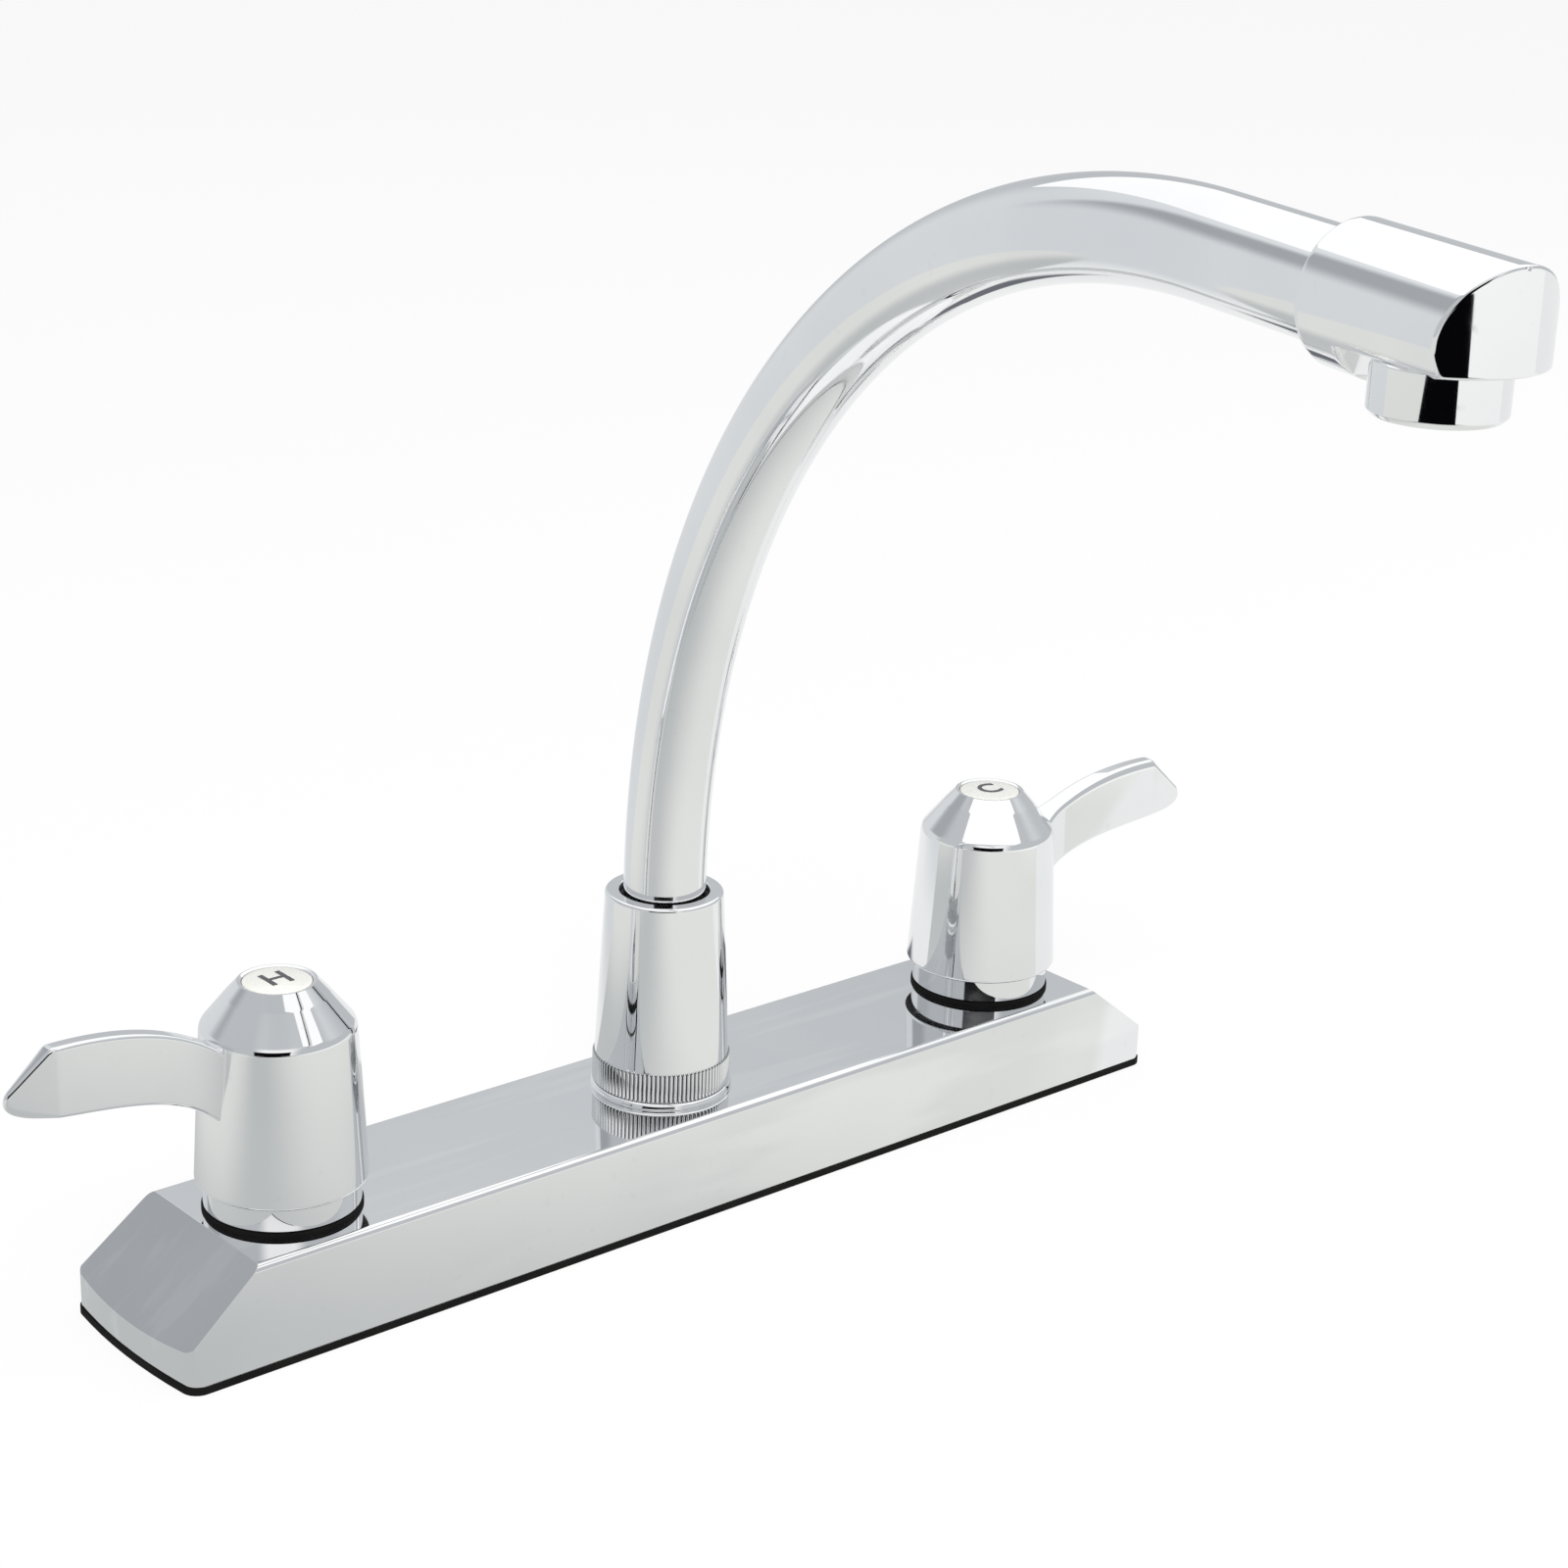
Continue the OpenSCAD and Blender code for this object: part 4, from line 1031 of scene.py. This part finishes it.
@dataclass
class Spout:
    """The swinging high-arc tube, its head and its aerator.

    The head is a barrel with a round nose. In front of the step its underside is cut flat, and
    "forward" is the level distance in front of the outlet's axis.
    """

    swing: float = 10.4
    tube_r: float = 9.3
    foot: float = 44.3
    bend_z: float = 70.1
    bend_r: float = 174.0
    bend: float = 92.2
    run: float = 54.3
    overlap: float = 6.4
    head_r: float = 11.7
    tail: float = 21.0
    nose_r: float = 15.8
    drop: float = 5.2
    flat_tail: float = 13.0
    edge: float = 0.38
    inset: float = 0.55
    around: int = 96
    lobe: int = 56
    across: int = 32
    front_rows: int = 22
    front_end: float = 0.97
    rear_rows: int = 8
    rear_rings: tuple[Pair, ...] = ((1, 11.7), (1, 10.6), (1, 9.32), (0.7, 9.32), (0.7, 0.001))
    aerator_r: float = 10.7
    aerator_h: float = 8.6
    mouth_r: float = 7.3
    bore_r: float = 8.2
    thread_r: float = 9.2
    thread_h: float = 2.1
    chamfer: float = 0.9

    @property
    def dip(self) -> float:
        """Return the slope of the outlet run in radians."""
        return radians(self.bend - 90)

    @property
    def downhill(self) -> Vector:
        """Return the direction of the outlet run, before the spout is swung."""
        return Vector((0, -cos(self.dip), -sin(self.dip)))

    @property
    def outlet(self) -> Vector:
        """Return where the outlet's axis crosses the run's axis, before the spout is swung."""
        angle = radians(self.bend)
        y, z = -self.bend_r * (1 - cos(angle)), self.bend_z + self.bend_r * sin(angle)
        return Vector((0, y, z)) + self.run * self.downhill

    @property
    def flat_z(self) -> float:
        """Return the level of the head's flat underside."""
        return self.outlet.z - self.drop

    def build(self, shop: Workshop) -> None:
        """Model the tube, the head and the aerator."""
        parts = (
            (self.tube(), "spout_arch", "spout_tube", 45),
            (self.head(), "spout_end", "spout_head", 40),
            (self.aerator(), "aerator_shell", "aerator_housing", 35),
        )
        for obj, name, node, angle in parts:
            settle(obj, -self.swing)
            smooth(obj, angle)
            shop.hand_over(obj, name, Finish.SPOUT, "spout", node)

    def tube(self) -> Object:
        """Extrude a circle up from the hub, spin it round the bend, run it into the head."""
        obj = add(
            bpy.ops.mesh.primitive_circle_add,
            vertices=112,
            radius=self.tube_r * MM,
            fill_type="NGON",
            location=(0, 0, self.foot * MM),
        )
        bpy.ops.object.transform_apply(location=True)
        edit(obj)
        push((0, 0, (self.bend_z - self.foot) * MM))
        hinge = metres((0, -self.bend_r, self.bend_z))
        bpy.ops.mesh.spin(steps=176, angle=radians(self.bend), center=hinge, axis=(-1, 0, 0))
        push(self.downhill * (self.run - self.tail + self.overlap) * MM)
        done()
        return obj

    def spot(self, x: float, up: float, forward: float) -> Place:
        """Return a place in the head from its distances sideways, square to the run and level."""
        along = (forward - up * sin(self.dip)) / cos(self.dip)
        z = self.outlet.z - along * sin(self.dip) + up * cos(self.dip)
        return (x, self.outlet.y - forward, z)

    def brink(self, forward: float, inset: float = 0.0) -> float:
        """Return the angle from the top at which the barrel meets the flat underside."""
        up = -(self.drop - inset) * cos(self.dip) + forward * sin(self.dip)
        return acos(up / (self.head_r - inset))

    def hoop(self, side: float, part: float, inset: float = 0.0) -> Place:
        """Return (x, up, forward) of a point on the barrel in front of the step.

        Args:
            side: Its place round the barrel, from -1 to 1.
            part: Its place along the barrel, from 0 at the step to 1 at the nose.
            inset: How far inside the barrel's outline it is, on the nose.

        Returns:
            The point's sideways, square and level distances.
        """
        r = self.head_r - inset
        forward = 0.0
        for _ in range(4):
            angle = side * self.brink(forward, inset)
            end = self.nose(r * sin(angle))
            forward = -self.flat_tail + (end + self.flat_tail) * part
        return r * sin(angle), r * cos(angle), forward

    def nose(self, x: float) -> float:
        """Return how far forward the round nose is at a distance sideways."""
        return sqrt(self.nose_r**2 - x**2)

    def rung(self, left: float, right: float) -> list[float]:
        """Return the distances sideways of a row of points across the nose."""
        return [left + (right - left) * i / self.across for i in range(self.across + 1)]

    def behind(self, angle: float, part: float, r: float) -> Place:
        """Return a place behind the step, whose part is 0 at the step and 1 at the rear end."""
        x, up = r * sin(angle), r * cos(angle)
        step = (-self.flat_tail - up * sin(self.dip)) / cos(self.dip)
        along = step + (-self.tail - step) * part
        return self.spot(x, up, along * cos(self.dip) + up * sin(self.dip))

    def head(self) -> Object:
        """Skin the barrel, the nose, the flat underside and the round lobe behind it."""
        sides = [2 * k / self.around - 1 for k in range(self.around + 1)]
        rows, last = self.front_rows, self.rear_rows
        parts = [k / rows * self.front_end for k in range(rows + 1)] + [1.0]
        upper = [[self.spot(*self.hoop(s, p)) for s in sides] for p in parts]
        brink = self.brink(-self.flat_tail)
        angles = [s * brink for s in sides]
        angles += [brink + (TURN - 2 * brink) * k / self.lobe for k in range(1, self.lobe)]
        angles.append(angles[0])
        rear = [[self.behind(a, k / last, self.head_r) for a in angles] for k in range(last + 1)]
        end = [[self.behind(a, part, r) for a in angles] for part, r in self.rear_rings]
        inner = [self.hoop(s, 1.0, self.inset) for s in sides]
        ridge = [upper[-1], [self.spot(*point) for point in inner]]
        ladder = []
        for k in range(self.around // 2 + 1):
            a, b = inner[k], inner[-1 - k]
            ladder.append([self.spot(x, a[1], self.nose(x)) for x in self.rung(a[0], b[0])])
        lip = self.rung(self.hoop(-1.0, 1.0)[0], self.hoop(1.0, 1.0)[0])
        sill = [[(x, self.outlet.y - self.nose(x), self.flat_z) for x in lip], ladder[0]]
        obj = join(*(skin(rows) for rows in (upper, rear, end, ridge, ladder, sill)))
        edit(obj)
        tidy(0.004)
        flat_edge, step_y = self.flat_z + 0.002, self.outlet.y + self.flat_tail
        self.fill(obj, lambda p: p.z < flat_edge and p.y < step_y + 0.01)
        self.fill(obj, lambda p: abs(p.y - step_y) < 0.01)
        done(0.004)
        bevel(obj, self.edge, 30, use_clamp_overlap=False)
        return obj

    def fill(self, obj: Object, test: Callable[[Vector], bool]) -> None:
        """Close the open edges whose vertices pass a test on their place in millimetres."""

        def wanted(edge: bmesh.types.BMEdge) -> bool:
            """Tell whether an edge is open and both its ends pass."""
            return edge.is_boundary and all(test(v.co / MM) for v in edge.verts)

        pick(obj, "edges", wanted)
        bpy.ops.mesh.edge_face_add()

    def aerator(self) -> Object:
        """Turn the aerator's shell with its chamfer, lip and thread."""
        low, top = self.flat_z - self.aerator_h, self.flat_z
        thread_z = top + self.thread_h
        corners = [(self.mouth_r, low, 0.2), (self.aerator_r - self.chamfer, low, 0.5)]
        corners += [(self.aerator_r, low + self.chamfer, 0.5), (self.aerator_r, top - 0.45, 0.25)]
        corners += [(self.aerator_r - 0.4, top - 0.02, 0), (self.thread_r, top - 0.02, 0)]
        corners += [(self.thread_r, thread_z, 0), (self.bore_r, thread_z, 0)]
        corners += [(self.bore_r, low + 1.2, 0), (self.mouth_r, low + 1.2, 0)]
        obj = turned_ring(corners, steps=144, chords=4)
        settle(obj, 0, (0, self.outlet.y, 0))
        return obj


# Camera and studio


@dataclass
class Camera:
    """The photograph's camera, found by fitting the faucet's own sizes to the picture."""

    at: Place = (-419.515, -516.799, 327.874)
    forward: Place = (0.618945, 0.700590, -0.355077)
    roll: float = 2.03
    lens: float = 72.76
    sensor: float = 36.0
    shift: Pair = (-0.0029, 0.0586)

    def build(self) -> None:
        """Create the camera and make it the scene's."""
        data = bpy.data.cameras.new("camera")
        data.lens, data.sensor_width, data.sensor_height = self.lens, self.sensor, self.sensor
        data.sensor_fit = "HORIZONTAL"
        data.shift_x, data.shift_y = self.shift
        data.clip_start, data.clip_end = 0.01, 50.0
        ahead = Vector(self.forward).normalized()
        level_line = ahead.cross(Vector((0, 0, 1))).normalized()
        plumb = level_line.cross(ahead)
        c, s = cos(radians(self.roll)), sin(radians(self.roll))
        right, up = c * level_line + s * plumb, c * plumb - s * level_line
        camera = bpy.data.objects.new("camera", data)
        frame = Matrix((right, up, -ahead)).transposed().to_4x4()
        camera.matrix_world = Matrix.Translation(metres(self.at)) @ frame
        bpy.context.scene.collection.objects.link(camera)
        bpy.context.scene.camera = camera


@dataclass(frozen=True)
class Lamp:
    """A soft rectangular lamp that points at the faucet, its size in millimetres."""

    name: str
    at: Place
    size: Pair
    watts: float

    def build(self) -> None:
        """Hang the lamp, unseen by the chrome."""
        data = bpy.data.lights.new(self.name, "AREA")
        data.shape = "RECTANGLE"
        data.size, data.size_y = self.size[0] * MM, self.size[1] * MM
        data.energy = self.watts
        lamp = bpy.data.objects.new(self.name, data)
        lamp.location = metres(self.at)
        aim = Vector((0, 0, 0.1)) - lamp.location
        lamp.rotation_euler = aim.to_track_quat("-Z", "Y").to_euler()
        lamp.visible_glossy = False
        bpy.context.scene.collection.objects.link(lamp)


@dataclass
class Studio:
    """A white table under a soft overhead light, with what the chrome reflects round it.

    The set is square to the camera. Its own axes are "ahead", away from the camera along the
    table, and "right"; "aside" is "right", turned a little in front of the hub. The world's
    colours go by direction, the table's by place in millimetres. A tone's pair of numbers is
    where it begins and ends, and a third is its softness. Mirror rays alone see them.
    """

    floor_mm: float = 6000.0
    world_light: float = 0.62
    ahead: Pair = (0.66, 0.75)
    front_edge: Pair = (-639.0, -647.0)
    rear_edge: Pair = (60.0, 64.0)
    gap: Place = (0.002, 0.002, 0.003)
    gap_right: Pair = (-560.0, 468.0)
    slant_from: float = -110.0
    slant: float = 0.25
    table_light: Place = (0.83, 0.84, 0.815)
    table_left: Place = (0.57, 0.585, 0.585)
    left_from: Pair = (-90.0, 120.0)
    left_to: Pair = (-110.0, -220.0)
    left_share: float = 0.9
    far_right: Place = (1.02, 1.03, 1.02)
    far_right_from: Pair = (270.0, 420.0)
    behind: Place = (0.16, 0.17, 0.19)
    behind_ahead: Pair = (85.0, 145.0)
    behind_right: Pair = (0.0, 105.0)
    crisp: float = 4.0
    blurred: float = 12.0
    behind_left_from: Pair = (-50.0, -170.0)
    behind_pale: Place = (0.92, 0.93, 0.93)
    backdrop: Place = (0.56, 0.58, 0.60)
    backdrop_left: Place = (0.74, 0.76, 0.78)
    ceiling: Place = (0.88, 0.90, 0.92)
    corner_dark: Place = (0.41, 0.43, 0.45)
    window: Place = (1.05, 1.05, 1.05)
    matt: Place = (0.9, 0.9, 0.9)
    whitened: float = 0.85
    sweep_right: Pair = (-0.15, -0.55)
    ceiling_up: Pair = (0.3, 0.8)
    corner_right: Pair = (-0.66, -0.74)
    corner_up: Pair = (0.25, 0.45)
    front_ahead: Pair = (0.25, -0.05)
    window_right: Place = (-0.3, 0.5, 0.15)
    window_up: Pair = (0.6, 0.85)
    dark_right: Place = (-0.42, 0.42, 0.02)
    dark_up: Pair = (0.38, 0.46)
    box_ahead: Pair = (-440.0, 1250.0)
    box_right: Pair = (-450.0, 800.0)
    box_height: float = 800.0
    box_light: float = 1.16
    lamps: tuple[Lamp, ...] = (
        Lamp("key", (-900, -1100, 1500), (900, 900), 26),
        Lamp("fill", (1400, -500, 1100), (700, 1100), 9),
    )

    def build(self) -> None:
        """Build the floor, the world, the softbox and the lamps."""
        self.floor()
        self.world()
        self.softbox()
        for lamp in self.lamps:
            lamp.build()

    def along(self, shader: Shader, place: NodeSocket) -> tuple[Signal, Signal]:
        """Return a place's or direction's parts ahead and to the right."""
        parts = shader.node("SeparateXYZ", {0: place})
        x, y = Signal(shader, parts.outputs[0]), Signal(shader, parts.outputs[1])
        return x * self.ahead[0] + y * self.ahead[1], x * self.ahead[1] - y * self.ahead[0]

    def floor(self) -> None:
        """Lay the table: white and shaded to the camera, lit and dark by place to the chrome."""
        floor = add(bpy.ops.mesh.primitive_plane_add, size=self.floor_mm * MM)
        floor.name = "table"
        material, shader = new_material("table")
        seen, mirrored = shader.rays()
        ahead, right = self.along(shader, shader.node("NewGeometry").outputs["Position"])
        aside = right + (self.slant_from * MM - ahead).above(0.0) * self.slant
        lit = shader.mix(aside.fade(self.left_from), self.table_left, self.table_light)
        lit = shader.mix(aside.fade(self.left_to) * self.left_share, lit, self.table_light)
        lit = shader.mix(right.fade(self.far_right_from), lit, self.far_right)
        shade = ahead.strip(self.behind_ahead, self.crisp)
        shade *= right.strip(self.behind_right, self.blurred)
        rear = shader.mix(shade, self.behind_pale, self.behind)
        rear = shader.mix(right.fade(self.behind_left_from), rear, self.backdrop_left)
        lit = shader.mix(ahead.fade(self.rear_edge), lit, rear)
        end = ahead.fade(self.front_edge) * right.strip(self.gap_right, self.crisp)
        lit = shader.mix(end, lit, self.gap)
        matt = shader.out("BsdfDiffuse", {"Color": self.matt})
        plain = shader.blend(seen * self.whitened, matt, shader.light("Emission", WHITE))
        both = shader.blend(mirrored, plain, shader.light("Emission", lit))
        shader.node("OutputMaterial", {"Surface": both})
        floor.data.materials.append(material)

    def world(self) -> None:
        """Fill the surroundings: white to the camera, a sweep and a gap to the chrome."""
        world = bpy.data.worlds.new("studio")
        bpy.context.scene.world = world
        world.use_nodes = True
        shader = Shader(world.node_tree)
        seen, mirrored = shader.rays()
        way = shader.node("TexCoord").outputs["Generated"]
        height = Signal(shader, shader.node("SeparateXYZ", {0: way}).outputs[2])
        ahead, right = self.along(shader, way)
        sweep = shader.mix(right.step(*self.sweep_right), self.backdrop, self.backdrop_left)
        sweep = shader.mix(height.step(*self.ceiling_up), sweep, self.ceiling)
        corner = right.step(*self.corner_right) * height.step(*self.corner_up)
        sweep = shader.mix(corner, sweep, self.corner_dark)
        panel = shader.mix(right.band(*self.window_right), self.backdrop, self.window)
        panel = shader.mix(height.step(*self.window_up), panel, self.backdrop)
        dark = right.band(*self.dark_right) * (1 - height.step(*self.dark_up))
        panel = shader.mix(dark, panel, self.gap)
        lit = shader.mix(ahead.step(*self.front_ahead), sweep, panel)
        soft = shader.light("Background", WHITE, self.world_light)
        unseen = shader.blend(mirrored, soft, shader.light("Background", lit))
        both = shader.blend(seen, unseen, shader.light("Background", WHITE))
        shader.node("OutputWorld", {"Surface": both})

    def softbox(self) -> None:
        """Hang the level softbox that only the chrome's reflections show."""
        (near, far), (left, right) = self.box_ahead, self.box_right
        ahead, aside = (near + far) / 2, (left + right) / 2
        x = ahead * self.ahead[0] + aside * self.ahead[1]
        y = ahead * self.ahead[1] - aside * self.ahead[0]
        at = metres((x, y, self.box_height))
        panel = add(bpy.ops.mesh.primitive_plane_add, size=MM, location=at)
        panel.name = "softbox"
        panel.scale = (far - near, right - left, 1)
        panel.rotation_euler.z = atan2(self.ahead[1], self.ahead[0])
        material, shader = new_material("softbox")
        clear = shader.out("BsdfTransparent")
        bright = shader.light("Emission", WHITE, self.box_light)
        both = shader.blend(shader.rays()[1], clear, bright)
        shader.node("OutputMaterial", {"Surface": both})
        panel.data.materials.append(material)


def main() -> None:
    """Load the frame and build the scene."""
    logging.basicConfig(level=logging.INFO, format="%(message)s")
    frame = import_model()
    shop = Workshop()
    finishes = {finish.slot: finish for finish in Finish}
    for row in frame["record"]["subparts"]:
        shop.dress(frame["nodes"][row["node"]], finishes[row["material_slot"]])
    DeckPlate().build(shop)
    Handle("hot", "H", -HANDLE_X, 180.0).build(shop)
    Handle("cold", "C", HANDLE_X, -5.0).build(shop)
    Hub().build(shop)
    Spout().build(shop)
    Camera().build()
    Studio().build()
    scene = bpy.context.scene
    scene.view_settings.view_transform = "Standard"


if __name__ == "__main__":
    main()
